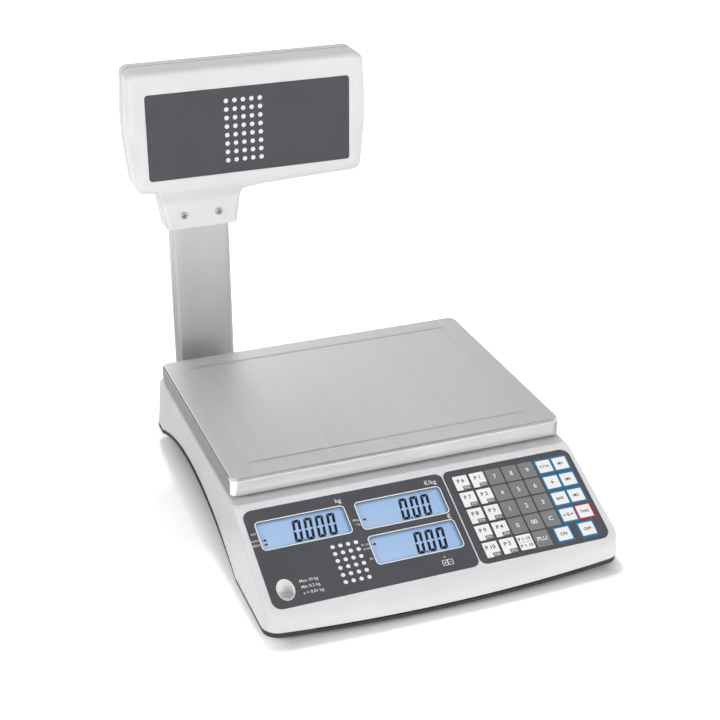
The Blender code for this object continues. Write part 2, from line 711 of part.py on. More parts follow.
def tray_section(y):
    """Section of the tray across the object: side flanges, belly walls and floor."""
    top = lower_edge(y) - PART_GAP
    arched = (lower_edge(y) - FRONT_LEG) / (ARCH_CREST - FRONT_LEG)
    under = top - LEG_EDGE + (LEG_EDGE - ARCH_EDGE) * arched
    under = max(under, TRAY_BOTTOM + LEAST_STEP)
    wide, belly = FRONT_HALF_WIDTH + CUT_MARGIN, BELLY_HALF_WIDTH
    inner = BELLY_HALF_WIDTH - BELLY_WALL
    half = (
        (inner, FLOOR_TOP),
        (inner, max(top, FLOOR_TOP + LEAST_STEP)),
        (wide, max(top, FLOOR_TOP + LEAST_STEP)),
        (wide, under),
        (belly, under),
        (belly, TRAY_BOTTOM),
    )
    ring = list(half) + [(-x, z) for x, z in reversed(half)]
    return [(x, y, z) for x, z in ring]


def foot_places():
    """Where the four levelling feet stand."""
    front_x, front_y = FRONT_HALF_WIDTH - FOOT_FRONT_SIDE_INSET, HOUSING_FRONT + FOOT_FRONT_INSET
    rear_x, rear_y = REAR_HALF_WIDTH - FOOT_REAR_SIDE_INSET, HOUSING_REAR - FOOT_REAR_INSET
    return {
        "foot_front_left": (-front_x, front_y),
        "foot_front_right": (front_x, front_y),
        "foot_rear_left": (-rear_x, rear_y),
        "foot_rear_right": (rear_x, rear_y),
    }


def make_tray():
    """Dark base tray with its arched sides, bosses and the holder of the column."""
    front, rear = HOUSING_FRONT - FRONT_BOW - CUT_MARGIN, HOUSING_REAR + CUT_MARGIN
    stations = [rear, *side_stations(rear, front), front]
    tray = solid("base_tray", loft([tray_section(y) for y in stations]), DARK_PLASTIC, scale_frame)
    side = BELLY_HALF_WIDTH - BELLY_WALL / 2
    rear_wall = box(
        (-side, HOUSING_REAR - TRAY_INSET - BELLY_WALL, FLOOR_TOP - BITE),
        (side, HOUSING_REAR + CUT_MARGIN / 2, REAR_LEG - PART_GAP - LEAST_STEP),
    )
    boolean(tray, "UNION", rear_wall, scale_frame)
    plan = inset_loop(housing_outline(), TRAY_INSET)
    boolean(tray, "INTERSECT", prism(plan, 0.0, DECK_HEIGHT), scale_frame)
    low = FLOOR_TOP - BITE
    boss_top = FLOOR_TOP + FOOT_BOSS_HEIGHT
    bosses = [prism(circle(FOOT_BOSS, at), low, boss_top) for at in foot_places().values()]
    bosses.append(prism(level_outline(-LEVEL_FIT), low, LEVEL_TOP - LEVEL_HEIGHT - PART_GAP))
    bosses.append(box(
        (-CELL_LENGTH / 2, -CELL_WIDTH / 2, low),
        (-CELL_LENGTH / 2 + PEDESTAL_LENGTH, CELL_WIDTH / 2, CELL_BOTTOM - PART_GAP),
    ))
    boolean(tray, "UNION", merge(bosses), scale_frame)
    width = COLUMN_WIDTH / 2 + FIT + HOLDER_WALL
    back = COLUMN_FRONT + COLUMN_DEPTH + FIT + HOLDER_WALL
    ahead = HOUSING_REAR + PART_GAP
    plan = rounded_polygon((
        (COLUMN_X + width, back, HOLDER_CORNER),
        (COLUMN_X + width, ahead, HOLDER_CORNER),
        (COLUMN_X - width, ahead, HOLDER_CORNER),
        (COLUMN_X - width, back, HOLDER_CORNER),
    ))
    boolean(tray, "UNION", prism(plan, TRAY_BOTTOM + BITE / 2, HOLDER_TOP), scale_frame)
    arm = box(
        (COLUMN_X - width + HOLDER_CORNER, HOUSING_REAR - HOLDER_REACH, TRAY_BOTTOM + BITE),
        (COLUMN_X + width - HOLDER_CORNER, HOUSING_REAR + HOLDER_WALL, REAR_LEG - PART_GAP - BITE),
    )
    boolean(tray, "UNION", arm, scale_frame)
    pocket = prism(column_outline(FIT), HOLDER_FLOOR, HOLDER_TOP + CUT_MARGIN)
    boolean(tray, "DIFFERENCE", pocket, scale_frame, COLUMN_PLACE)
    stem = FOOT_STEM + FIT
    holes = [prism(circle(stem, at, SMALL_ROUND_STEPS), 0.0, DECK_HEIGHT) for at in foot_places().values()]
    boolean(tray, "DIFFERENCE", merge(holes), scale_frame)


def make_feet():
    """Levelling feet: a disc under the tray on a stem in a boss."""
    disc = TRAY_BOTTOM - PART_GAP
    rim = disc / 4
    profile = (
        (FOOT_RADIUS - rim, 0.0),
        (FOOT_RADIUS, rim),
        (FOOT_RADIUS, disc),
        (FOOT_STEM, disc),
        (FOOT_STEM, disc + FOOT_STEM_LENGTH),
    )
    for name, (x, y) in foot_places().items():
        solid(name, turned(profile), RUBBER, scale_frame, (x, y, 0.0))


# Load cell, pan support and pan

def make_load_cell():
    """Aluminium load cell bar with the two bores that let it bend."""
    low = (-CELL_LENGTH / 2, -CELL_WIDTH / 2, CELL_BOTTOM)
    cell = solid("load_cell", box(low, (-low[0], -low[1], CELL_TOP)), ALUMINIUM, scale_frame)
    half = CELL_WIDTH / 2 + CUT_MARGIN
    spread = CELL_BORE_SPACING / 2
    bores = [prism(circle(CELL_BORE, (x, 0.0)), -half, half) for x in (-spread, spread)]
    middle = (0.0, 0.0, CELL_BOTTOM + CELL_HEIGHT / 2)
    boolean(cell, "DIFFERENCE", merge(bores), scale_frame, middle, FACING_OPERATOR)


def make_pan_support():
    """Cross-shaped support above the deck, on a boss that stands on the free end of the load cell."""
    arm, reach_x, reach_y = SUPPORT_ARM / 2, SUPPORT_REACH_X, SUPPORT_REACH_Y
    top = SUPPORT_BOTTOM + SUPPORT_PLATE
    pad_top = PAN_TOP - PAN_SHEET - PART_GAP
    plate = box((-reach_x, -arm, SUPPORT_BOTTOM), (reach_x, arm, top))
    support = solid("pan_support", plate, ALUMINIUM, scale_frame)
    for side in (-1, 1):
        x = side * (reach_x - arm)
        bar = box((x - arm, -reach_y, SUPPORT_BOTTOM - BITE / 2), (x + arm, reach_y, top + BITE / 2))
        boolean(support, "UNION", bar, scale_frame)
    pads = [
        prism(circle(SUPPORT_PAD, (sx * (reach_x - arm), sy * (reach_y - arm))), top, pad_top)
        for sx in (-1, 1)
        for sy in (-1, 1)
    ]
    boolean(support, "UNION", merge(pads), scale_frame)
    boss = prism(circle(SUPPORT_BOSS, (CELL_FREE_X, 0.0)), CELL_TOP + SUPPORT_GAP, top - BITE)
    boolean(support, "UNION", boss, scale_frame)


def pan_ring(inset, z):
    """Loop round the pan at an inset from its outer edge."""
    radius = max(PAN_CORNER - inset, PAN_EDGE)
    outline = rounded_rectangle(PAN_WIDTH - 2 * inset, PAN_DEPTH - 2 * inset, radius)
    return [(x, y, z) for x, y in outline]


def pan_loops(wall):
    """Loops from the skirt's lower edge over the rounded edge and across the pressed groove."""
    top = PAN_TOP - wall
    radius = PAN_EDGE - wall
    loops = [pan_ring(wall, PAN_TOP - PAN_SKIRT)]
    for step in range(FILLET_STEPS + 1):
        angle = pi / 2 * step / FILLET_STEPS
        loops.append(pan_ring(wall + radius * (1 - cos(angle)), top - radius * (1 - sin(angle))))
    quarter = GROOVE_WIDTH / 4
    for share, depth in ((0, 0.0), (1, GROOVE_DEPTH), (3, GROOVE_DEPTH), (4, 0.0)):
        loops.append(pan_ring(GROOVE_INSET + share * quarter, top - depth))
    return loops


def make_pan():
    """Stainless weighing pan that lifts off its support."""
    pan = open_shell(pan_loops(0.0), pan_loops(PAN_SHEET))
    solid("weighing_pan", pan, STEEL, scale_frame)


# Console: overlays, displays, keys and board

def key_layout():
    """Each key's name, left edge, top edge, size and look."""
    keys = []
    digits = (("7", "8", "9"), ("4", "5", "6"), ("1", "2", "3"), ("0", "00", "clear"))
    functions = (("total", "memory_add"), ("add", "memory_recall"), ("bar", "memory_clear"), ("zero", "tare"))
    tops = [KEY_TOP_MARGIN + row * KEY_ROW_PITCH for row in range(KEY_ROWS)]
    lefts = [KEYPAD_LEFT + KEY_LEFT_MARGIN + column * KEY_PITCH for column in range(KEY_COLUMNS)]
    lookup_lefts, digit_lefts = lefts[0:2], lefts[2:5]
    function_lefts = [left + FUNCTION_GAP for left in lefts[5:7]]
    lower = (KEY_SIZE[1] - FUNCTION_KEY[1]) / 2
    for row, top in enumerate(tops):
        for left, first in zip(lookup_lefts, (KEY_ROWS + 1, 1)):
            keys.append((f"key_lookup_{first + row}", left, top, KEY_SIZE, KEY_WHITE))
    for top, digit_row, function_row in zip(tops, digits, functions):
        for left, label in zip(digit_lefts, digit_row):
            keys.append((f"key_{label}", left, top, KEY_SIZE, KEY_GREY))
        for left, label in zip(function_lefts, function_row):
            keys.append((f"key_{label}", left, top + lower, FUNCTION_KEY, KEY_WHITE))
    keys.append(("key_lookup_bank", digit_lefts[0], tops[-1], KEY_SIZE, KEY_WHITE))
    keys.append(("key_lookup", digit_lefts[1], tops[-1], KEY_SIZE, KEY_GREY))
    for column, label in enumerate(("on", "off")):
        left = function_lefts[0] - SWITCH_INSET + column * SWITCH_PITCH
        keys.append((f"key_{label}", left, tops[-1] + lower, FUNCTION_KEY, KEY_WHITE))
    return keys


def key_outline(size, centre=(0.0, 0.0), grow=0.0):
    """Outline of a key with small round corners."""
    return rounded_rectangle(size[0] + 2 * grow, size[1] + 2 * grow, KEY_CORNER, centre, steps=1)


def key_centre(left, top, size):
    """Middle of a key on the console."""
    return on_console(left + size[0] / 2, top + size[1] / 2)


def make_keys():
    """Keys that travel along the console's normal, each in its own hole of the overlay."""
    keypad = prism(keypad_outline(), -OVERLAY_THICKNESS, 0.0)
    keypad = solid("keypad_overlay", keypad, OVERLAY_FILM, console_frame)
    holes = []
    for name, left, top, size, look in key_layout():
        centre = key_centre(left, top, size)
        holes.append(prism(key_outline(size, centre, KEY_CLEARANCE), -POCKET_DEPTH, CUT_MARGIN))
        body = prism(key_outline(size), KEY_PROUD - KEY_THICKNESS, KEY_PROUD)
        solid(name, body, look, console_frame, (*centre, 0.0))
    boolean(keypad, "DIFFERENCE", merge(holes), console_frame)


def make_displays():
    """Display overlay with its windows, the three operator displays and their board."""
    overlay = prism(display_outline(), -OVERLAY_THICKNESS, 0.0)
    overlay = solid("display_overlay", overlay, OVERLAY_FILM, console_frame)
    for window in WINDOWS.values():
        outline = rounded_rectangle(WINDOW_WIDTH, WINDOW_HEIGHT, WINDOW_CORNER, on_console(*window))
        boolean(overlay, "DIFFERENCE", prism(outline, -POCKET_DEPTH, CUT_MARGIN), console_frame)
    level = prism(level_outline(), 0.0, DECK_HEIGHT)
    boolean(overlay, "DIFFERENCE", level, scale_frame)
    for name, window in WINDOWS.items():
        lcd = prism(lcd_outline(window), LCD_TOP - LCD_THICKNESS, LCD_TOP)
        solid(name, lcd, LCD_GLASS, console_frame)
    corners = (
        (BOARD_RIGHT, BOARD_BACK),
        (BOARD_RIGHT, BOARD_FRONT),
        (BOARD_NOTCH_U, BOARD_FRONT),
        (BOARD_NOTCH_U, BOARD_NOTCH_V),
        (BOARD_LEFT, BOARD_NOTCH_V),
        (BOARD_LEFT, BOARD_BACK),
    )
    board = prism([on_console(u, v) for u, v in corners], BOARD_TOP - BOARD_THICKNESS, BOARD_TOP)
    solid("console_board", board, CIRCUIT_BOARD, console_frame)


def make_level():
    """Spirit level on a boss of the tray, under its window in the console."""
    stages = (
        (LEVEL_FIT, LEVEL_TOP - LEVEL_HEIGHT),
        (LEVEL_FIT, LEVEL_TOP - LEVEL_EDGE),
        (LEVEL_FIT + LEVEL_EDGE, LEVEL_TOP),
    )
    body = loft([[(x, y, z) for x, y in level_outline(-inset)] for inset, z in stages])
    solid("spirit_level", body, LEVEL_CLEAR, scale_frame)


# Battery and power socket

def make_battery():
    """Sealed battery lying on the tray floor."""
    outline = rounded_rectangle(BATTERY_LENGTH, BATTERY_WIDTH, BATTERY_EDGE)
    at = (BATTERY_X, BATTERY_Y, FLOOR_TOP + PART_GAP)
    solid("battery", prism(outline, 0.0, BATTERY_HEIGHT), BATTERY_CASE, scale_frame, at)


def make_power_socket():
    """Low-voltage socket in the rear wall."""
    wall_y = HOUSING_REAR - wall_inset(HOUSING_REAR, SOCKET_Z)
    inner = wall_y - HOUSING_WALL / cos(REAR_DRAFT) - REAR_DRAFT * SOCKET_BLOCK_HEIGHT / 2 - PART_GAP
    half_width, half_height = SOCKET_BLOCK_WIDTH / 2, SOCKET_BLOCK_HEIGHT / 2
    at = (SOCKET_X, inner, SOCKET_Z)
    block = box((-half_width, -half_height, 0.0), (half_width, half_height, SOCKET_BLOCK_DEPTH))
    socket = solid("power_socket", block, DARK_PLASTIC, scale_frame, at, FACING_OPERATOR)
    mouth = inner - wall_y - SOCKET_PROUD
    boolean(socket, "UNION", prism(circle(SOCKET_BARREL), mouth, BITE), scale_frame, at, FACING_OPERATOR)
    bore = prism(circle(SOCKET_BORE), mouth - CUT_MARGIN, SOCKET_BLOCK_DEPTH - HOUSING_WALL)
    boolean(socket, "DIFFERENCE", bore, scale_frame, at, FACING_OPERATOR)


# Column and customer display head

def column_outline(grow=0.0):
    """Section of the column's outer faces, or of a hole that it fits in."""
    return rounded_rectangle(COLUMN_WIDTH + 2 * grow, COLUMN_DEPTH + 2 * grow, COLUMN_CORNER + grow)


def make_column():
    """Stainless tube that stands in its holder and carries the head."""
    tube = prism(column_outline(), COLUMN_BOTTOM, COLUMN_TOP)
    column = solid("column", tube, STEEL, scale_frame, COLUMN_PLACE)
    hollow = prism(column_outline(-COLUMN_WALL), COLUMN_BOTTOM - CUT_MARGIN, COLUMN_TOP + CUT_MARGIN)
    boolean(column, "DIFFERENCE", hollow, scale_frame, COLUMN_PLACE)
    cut_screw_holes(column)


def cut_screw_holes(target):
    """Holes for the neck screws, through every wall on the operator's side."""
    reach = NECK_DEPTH / 2 + CUT_MARGIN
    radius = SCREW_SHANK + FIT
    holes = [
        prism(circle(radius, (side * SCREW_SPACING / 2, 0.0), SMALL_ROUND_STEPS), 0.0, reach)
        for side in (-1, 1)
    ]
    at = (COLUMN_X, COLUMN_Y, SCREW_Z)
    boolean(target, "DIFFERENCE", merge(holes), scale_frame, at, FACING_OPERATOR)


def head_outline():
    """Front view of the head about its own middle: bowed sides and a sagging lower edge."""
    middle = (HEAD_TOP + HEAD_BOTTOM) / 2
    top, bottom = HEAD_HALF_WIDTH - HEAD_TOP_TAPER, HEAD_HALF_WIDTH - HEAD_BOTTOM_TAPER
    corners = (
        (top, HEAD_TOP, HEAD_CORNER),
        (HEAD_HALF_WIDTH, middle, HEAD_SIDE_BOW),
        (bottom, HEAD_BOTTOM, HEAD_CORNER),
        (0.0, HEAD_BOTTOM - HEAD_SAG, HEAD_SAG_BOW),
        (-bottom, HEAD_BOTTOM, HEAD_CORNER),
        (-HEAD_HALF_WIDTH, middle, HEAD_SIDE_BOW),
        (-top, HEAD_TOP, HEAD_CORNER),
    )
    return rounded_polygon(corners)


def foot_edge(x, z):
    """Height of the rounded edge at a point of the head's outline, taller along the lower edge."""
    round_end = HEAD_HALF_WIDTH - HEAD_BOTTOM_TAPER - HEAD_CORNER
    if z > HEAD_BOTTOM + HEAD_CORNER:
        return HEAD_EDGE
    if abs(x) > round_end:
        drop = min(1.0, (HEAD_BOTTOM + HEAD_CORNER - z) / HEAD_CORNER)
        return HEAD_EDGE + (HEAD_CORNER_EDGE - HEAD_EDGE) * drop
    return HEAD_CORNER_EDGE + (HEAD_FOOT_EDGE - HEAD_CORNER_EDGE) * (1 - abs(x) / round_end) ** 0.5


def head_body(wall):
    """The head as a solid with rounded edges, inside its outer faces by a wall."""
    outline = head_outline()
    radius = HEAD_EDGE - wall
    spans = [foot_edge(x, z) - wall for x, z in outline]
    front, rear = HEAD_FRONT + wall, HEAD_REAR - wall
    loops = []
    for step in range(FILLET_STEPS + 1):
        angle = pi / 2 * step / FILLET_STEPS
        points = inset_loop(outline, [wall + span * (1 - sin(angle)) for span in spans])
        loops.append([(x, front + radius * (1 - cos(angle)), z) for x, z in points])
    mirrored = [[(x, front + rear - y, z) for x, y, z in loop] for loop in reversed(loops)]
    return loft(loops + mirrored)


def neck_body(wall):
    """The neck under the head, which sweeps out into the head's faces, inside its outer faces by a wall."""
    sections = [(NECK_BOTTOM + wall, NECK_HALF_WIDTH, NECK_HALF_WIDTH, NECK_DEPTH / 2)]
    full_depth = HEAD_THICKNESS / 2 - FLARE_SINK
    for step in range(FLARE_STEPS + 1):
        climb = (FLARE_DROP + FLARE_RISE) * step / FLARE_STEPS
        blend = ease(climb / (FLARE_DROP + FLARE_FLUSH))
        half_width = NECK_SHOULDER + FLARE_SPREAD * blend
        above = max(0.0, climb - FLARE_DROP + HEAD_SAG) / (FLARE_RISE + HEAD_SAG)
        half_depth = NECK_DEPTH / 2 + (full_depth - NECK_DEPTH / 2) * blend
        z = HEAD_BOTTOM - FLARE_DROP + climb
        sections.append((z, half_width, half_width + FLARE_SWEEP * above ** 0.5, half_depth))
    loops = []
    for z, left, right, half_depth in sections:
        size = (left + right - 2 * wall, 2 * (half_depth - wall))
        outline = rounded_rectangle(*size, NECK_CORNER - wall, (NECK_OFFSET + (right - left) / 2, 0.0))
        loops.append([(x, y, z) for x, y in outline])
    return loft(loops)


def head_shell(name, near, far):
    """The slice of the hollow head and neck between two planes, open to the column below."""
    at = (HEAD_X, 0.0, 0.0)
    shell = solid(name, head_body(0.0), WHITE_PLASTIC, scale_frame, at)
    boolean(shell, "UNION", neck_body(0.0), scale_frame, COLUMN_PLACE)
    boolean(shell, "DIFFERENCE", head_body(HEAD_WALL), scale_frame, at)
    boolean(shell, "DIFFERENCE", neck_body(HEAD_WALL), scale_frame, COLUMN_PLACE)
    low, high = NECK_BOTTOM - CUT_MARGIN, HEAD_TOP + CUT_MARGIN
    mouth = prism(column_outline(FIT), low, NECK_BOTTOM + HEAD_WALL + CUT_MARGIN)
    boolean(shell, "DIFFERENCE", mouth, scale_frame, COLUMN_PLACE)
    reach = HEAD_HALF_WIDTH + CUT_MARGIN
    boolean(shell, "INTERSECT", box((-reach, near, low), (reach, far, high)), scale_frame, at)
    return shell


def scoop(x):
    """Tool for a shallow finger hollow in the front of the head, with soft upper and lower ends."""
    end = SCOOP_RUNOUT / FILLET_STEPS
    low, high = HEAD_BOTTOM + SCOOP_BOTTOM, HEAD_BOTTOM + SCOOP_TOP
    stages = []
    for step in range(FILLET_STEPS + 1):
        fade = 1 - step / FILLET_STEPS
        stages.append((low + step * end, SCOOP_RADIUS - (SCOOP_DEPTH + LEAST_STEP) * fade ** 2))
    stages += [(low + high - z, radius) for z, radius in reversed(stages)]
    middle = (x, HEAD_FRONT + SCOOP_DEPTH - SCOOP_RADIUS)
    return loft([[(px, py, z) for px, py in circle(r, middle, SCOOP_STEPS)] for z, r in stages])


def panel_outline(grow=0.0):
    """Outline of the dark panel on either face of the head."""
    return rounded_rectangle(PANEL_WIDTH + 2 * grow, PANEL_HEIGHT + 2 * grow, PANEL_CORNER)


def make_operator_side():
    """Front shell with its dark panel and the two neck screws."""
    shell = head_shell("head_front_shell", HEAD_FRONT - CUT_MARGIN, HEAD_SEAM - PART_GAP / 2)
    at = (PANEL_X, HEAD_FRONT, PANEL_Z)
    seat = prism(panel_outline(FIT), -PANEL_THICKNESS - PART_GAP, CUT_MARGIN)
    boolean(shell, "DIFFERENCE", seat, scale_frame, at, FACING_OPERATOR)
    aside = HEAD_HALF_WIDTH - SCOOP_SIDE_INSET
    scoops = merge([scoop(HEAD_X + side * aside) for side in (-1, 1)])
    boolean(shell, "DIFFERENCE", scoops, scale_frame)
    cut_screw_holes(shell)
    panel = prism(panel_outline(), -PANEL_THICKNESS, 0.0)
    solid("head_panel", panel, OVERLAY_FILM, scale_frame, at, FACING_OPERATOR)
    tip = NECK_FRONT - COLUMN_FRONT - 2 * COLUMN_WALL
    profile = (
        (SCREW_SHANK, tip),
        (SCREW_SHANK, PART_GAP),
        (SCREW_HEAD, PART_GAP),
        (SCREW_HEAD, SCREW_HEAD_HEIGHT * SCREW_DOME),
        (SCREW_HEAD * SCREW_DOME, SCREW_HEAD_HEIGHT),
    )
    for name, side in (("neck_screw_left", -1), ("neck_screw_right", 1)):
        where = (COLUMN_X + side * SCREW_SPACING / 2, NECK_FRONT, SCREW_Z)
        solid(name, turned(profile, SMALL_ROUND_STEPS), STEEL, scale_frame, where, FACING_OPERATOR)


def make_customer_side():
    """Rear shell with the customer's panel, its three windows and the display board."""
    shell = head_shell("head_rear_shell", HEAD_SEAM + PART_GAP / 2, HEAD_REAR + CUT_MARGIN)
    at = (PANEL_X, HEAD_REAR, PANEL_Z)
    seat_depth = PANEL_THICKNESS + PART_GAP
    lcd_base = -seat_depth - CUSTOMER_LCD_THICKNESS
    board_top = lcd_base + THIN_BITE
    posts = []
    for sx, sz in ((-1, -1), (-1, 1), (1, -1), (1, 1)):
        post = circle(BOARD_POST, (sx * CUSTOMER_POST_X, sz * CUSTOMER_POST_Z), SMALL_ROUND_STEPS)
        posts.append(prism(post, board_top + PART_GAP, -HEAD_WALL + BITE))
    boolean(shell, "UNION", merge(posts), scale_frame, at, FACING_CUSTOMER)
    seat = prism(panel_outline(FIT), -seat_depth, CUT_MARGIN)
    boolean(shell, "DIFFERENCE", seat, scale_frame, at, FACING_CUSTOMER)
    panel = prism(panel_outline(), -PANEL_THICKNESS, 0.0)
    panel = solid("customer_panel", panel, OVERLAY_FILM, scale_frame, at, FACING_CUSTOMER)
    width, height = CUSTOMER_WINDOW_WIDTH, CUSTOMER_WINDOW_HEIGHT
    aside, above = (width + CUSTOMER_WINDOW_GAP) / 2, (height + CUSTOMER_WINDOW_GAP) / 2
    board_size = (2 * CUSTOMER_POST_X + 4 * BOARD_POST, 2 * CUSTOMER_POST_Z + 2 * BOARD_POST)
    board = prism(rounded_rectangle(*board_size, WINDOW_CORNER), board_top - BOARD_THICKNESS, board_top)
    board = solid("customer_board", board, LCD_GLASS, scale_frame, at, FACING_CUSTOMER)
    border = 2 * LCD_BORDER
    hole = border + 2 * FIT
    lcds = []
    for centre in ((aside, above), (-aside, above), (0.0, -above)):
        opening = rounded_rectangle(width + hole, height + hole, WINDOW_CORNER, centre, COARSE_STEPS)
        opening = prism(opening, -HEAD_WALL - CUT_MARGIN, CUT_MARGIN)
        boolean(shell, "DIFFERENCE", opening, scale_frame, at, FACING_CUSTOMER)
        window = prism(rounded_rectangle(width, height, WINDOW_CORNER, centre), -seat_depth, CUT_MARGIN)
        boolean(panel, "DIFFERENCE", window, scale_frame, at, FACING_CUSTOMER)
        lcd = rounded_rectangle(width + border, height + border, WINDOW_CORNER, centre, COARSE_STEPS)
        lcds.append(prism(lcd, lcd_base, -seat_depth))
    boolean(board, "UNION", merge(lcds), scale_frame, at, FACING_CUSTOMER)


# The whole object, with its origin under the middle of its box

across = [x for x, _ in housing_outline()] + [HEAD_X + x for x, _ in head_outline()]
middle_x = (min(across) + max(across)) / 2
middle_y = (min(y for _, y in housing_outline()) + HEAD_REAR) / 2
crease = (0.0, CREASE_Y, DECK_HEIGHT)
scale_frame = empty("scale_frame", None, (-middle_x, -middle_y, 0.0))
console_frame = empty("console_frame", scale_frame, crease, (CONSOLE_SLOPE, 0.0, 0.0))
make_tray()
make_feet()
make_load_cell()
make_pan_support()
make_pan()
make_housing()
make_displays()
make_keys()
make_level()
make_battery()
make_power_socket()
make_column()
make_operator_side()
make_customer_side()
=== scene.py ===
"""Looks of the retail price scale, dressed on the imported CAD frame.

Metres, +Z up, +Y towards the customer.
"""

import json
from math import atan, cos, pi, radians, sin

import bmesh
import bpy
from mathutils import Matrix, Vector

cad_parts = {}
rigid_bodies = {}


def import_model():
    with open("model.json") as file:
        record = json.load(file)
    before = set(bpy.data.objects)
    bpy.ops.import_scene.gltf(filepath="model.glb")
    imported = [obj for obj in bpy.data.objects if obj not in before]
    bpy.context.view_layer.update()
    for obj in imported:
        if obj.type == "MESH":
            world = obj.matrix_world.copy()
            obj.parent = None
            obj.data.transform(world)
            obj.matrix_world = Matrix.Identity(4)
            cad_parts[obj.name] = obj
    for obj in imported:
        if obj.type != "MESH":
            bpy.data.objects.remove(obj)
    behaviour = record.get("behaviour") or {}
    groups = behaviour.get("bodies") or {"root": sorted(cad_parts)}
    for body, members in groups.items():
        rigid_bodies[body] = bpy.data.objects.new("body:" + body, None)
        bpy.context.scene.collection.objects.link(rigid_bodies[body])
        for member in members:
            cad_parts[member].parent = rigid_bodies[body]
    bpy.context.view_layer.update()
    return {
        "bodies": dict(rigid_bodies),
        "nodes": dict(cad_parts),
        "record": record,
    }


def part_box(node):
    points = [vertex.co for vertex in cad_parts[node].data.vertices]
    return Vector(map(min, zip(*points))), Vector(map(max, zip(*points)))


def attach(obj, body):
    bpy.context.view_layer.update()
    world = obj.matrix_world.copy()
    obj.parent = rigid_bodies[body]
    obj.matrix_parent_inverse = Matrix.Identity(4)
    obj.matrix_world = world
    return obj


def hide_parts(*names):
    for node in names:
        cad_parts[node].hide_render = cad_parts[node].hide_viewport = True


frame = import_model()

NODES = frame["nodes"]
BODY_OF = {
    node: body
    for body, empty in frame["bodies"].items()
    for node, solid in NODES.items()
    if solid.parent == empty
}
SLOT_OF = {part["node"]: part["material_slot"] for part in frame["record"]["subparts"]}


# Frames that flat work is drawn in: the console, and both faces of the head

CREASE_Y = -0.1282  # where the deck turns down into the console, from the pan's middle
DECK_HEIGHT = 0.066
CONSOLE_DROP, CONSOLE_RUN = 0.0424, 0.0913
OVERLAY_TOP = 0.0043  # from the crease down the slope to the overlays' upper edge
PRINT = 0.00003  # height of printing over what it is printed on
REAR_SINK = 0.0002  # room for the frames on the customer's panel, inside the CAD box
UPRIGHT = Matrix.Rotation(pi / 2, 4, "X")


def middle(node):
    low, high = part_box(node)
    return (low + high) / 2


def shift(x, y, z):
    return Matrix.Translation((x, y, z))


PAN, HEAD, REAR = middle("weighing_pan"), middle("head_panel"), middle("customer_panel")
CONSOLE = (
    shift(PAN.x, PAN.y + CREASE_Y, DECK_HEIGHT)
    @ Matrix.Rotation(atan(CONSOLE_DROP / CONSOLE_RUN), 4, "X")
    @ shift(0, -OVERLAY_TOP, 0)
)
OPERATOR_FACE = shift(HEAD.x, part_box("head_panel")[0].y, HEAD.z) @ UPRIGHT
CUSTOMER_FACE = (
    shift(REAR.x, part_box("customer_panel")[1].y, REAR.z)
    @ Matrix.Rotation(pi, 4, "Z") @ UPRIGHT @ shift(0, 0, -REAR_SINK)
)


def extent(node, place):
    """Lowest and highest corner of a CAD node in one of the frames above."""
    back = place.inverted()
    points = [back @ v.co for v in NODES[node].data.vertices]
    low = Vector([min(p[i] for p in points) for i in range(3)])
    return low, Vector([max(p[i] for p in points) for i in range(3)])


# Materials

CLOUD_SCALE = 26.0
GRAIN_SCALE, GRAIN_DEPTH, GRAIN_STRENGTH = 2600.0, 0.00003, 0.25
INK_SCALE, INK_DEPTH, INK_STRENGTH = 1900.0, 0.00001, 0.1
INK_CLOUD = 4  # how much darker the clouding of ink is, in steps of its hex code
SEAM_SHADE_CORE, SEAM_SHADE_EDGE = 0.0004, 0.0008  # half widths of the painted shade along a parting line
LINE_SCALE, BAND_SCALE = (2200.0, 9.0), (90.0, 1.6)  # brushed grain, across and along
SKIRT_ROUGH, SKIRT_COLOUR = 0.3, "F2F2F2"  # upright faces of brushed sheet
MATT = {"Specular_IOR_Level": 0.3}
GLASSY = {"Coat_Weight": 0.4, "Coat_Roughness": 0.04}


def srgb(code):
    """Linear colour from a hex code."""
    values = [int(code[i:i + 2], 16) / 255 for i in (0, 2, 4)]
    linear = (v / 12.92 if v < 0.04045 else ((v + 0.055) / 1.055) ** 2.4 for v in values)
    return (*linear, 1.0)


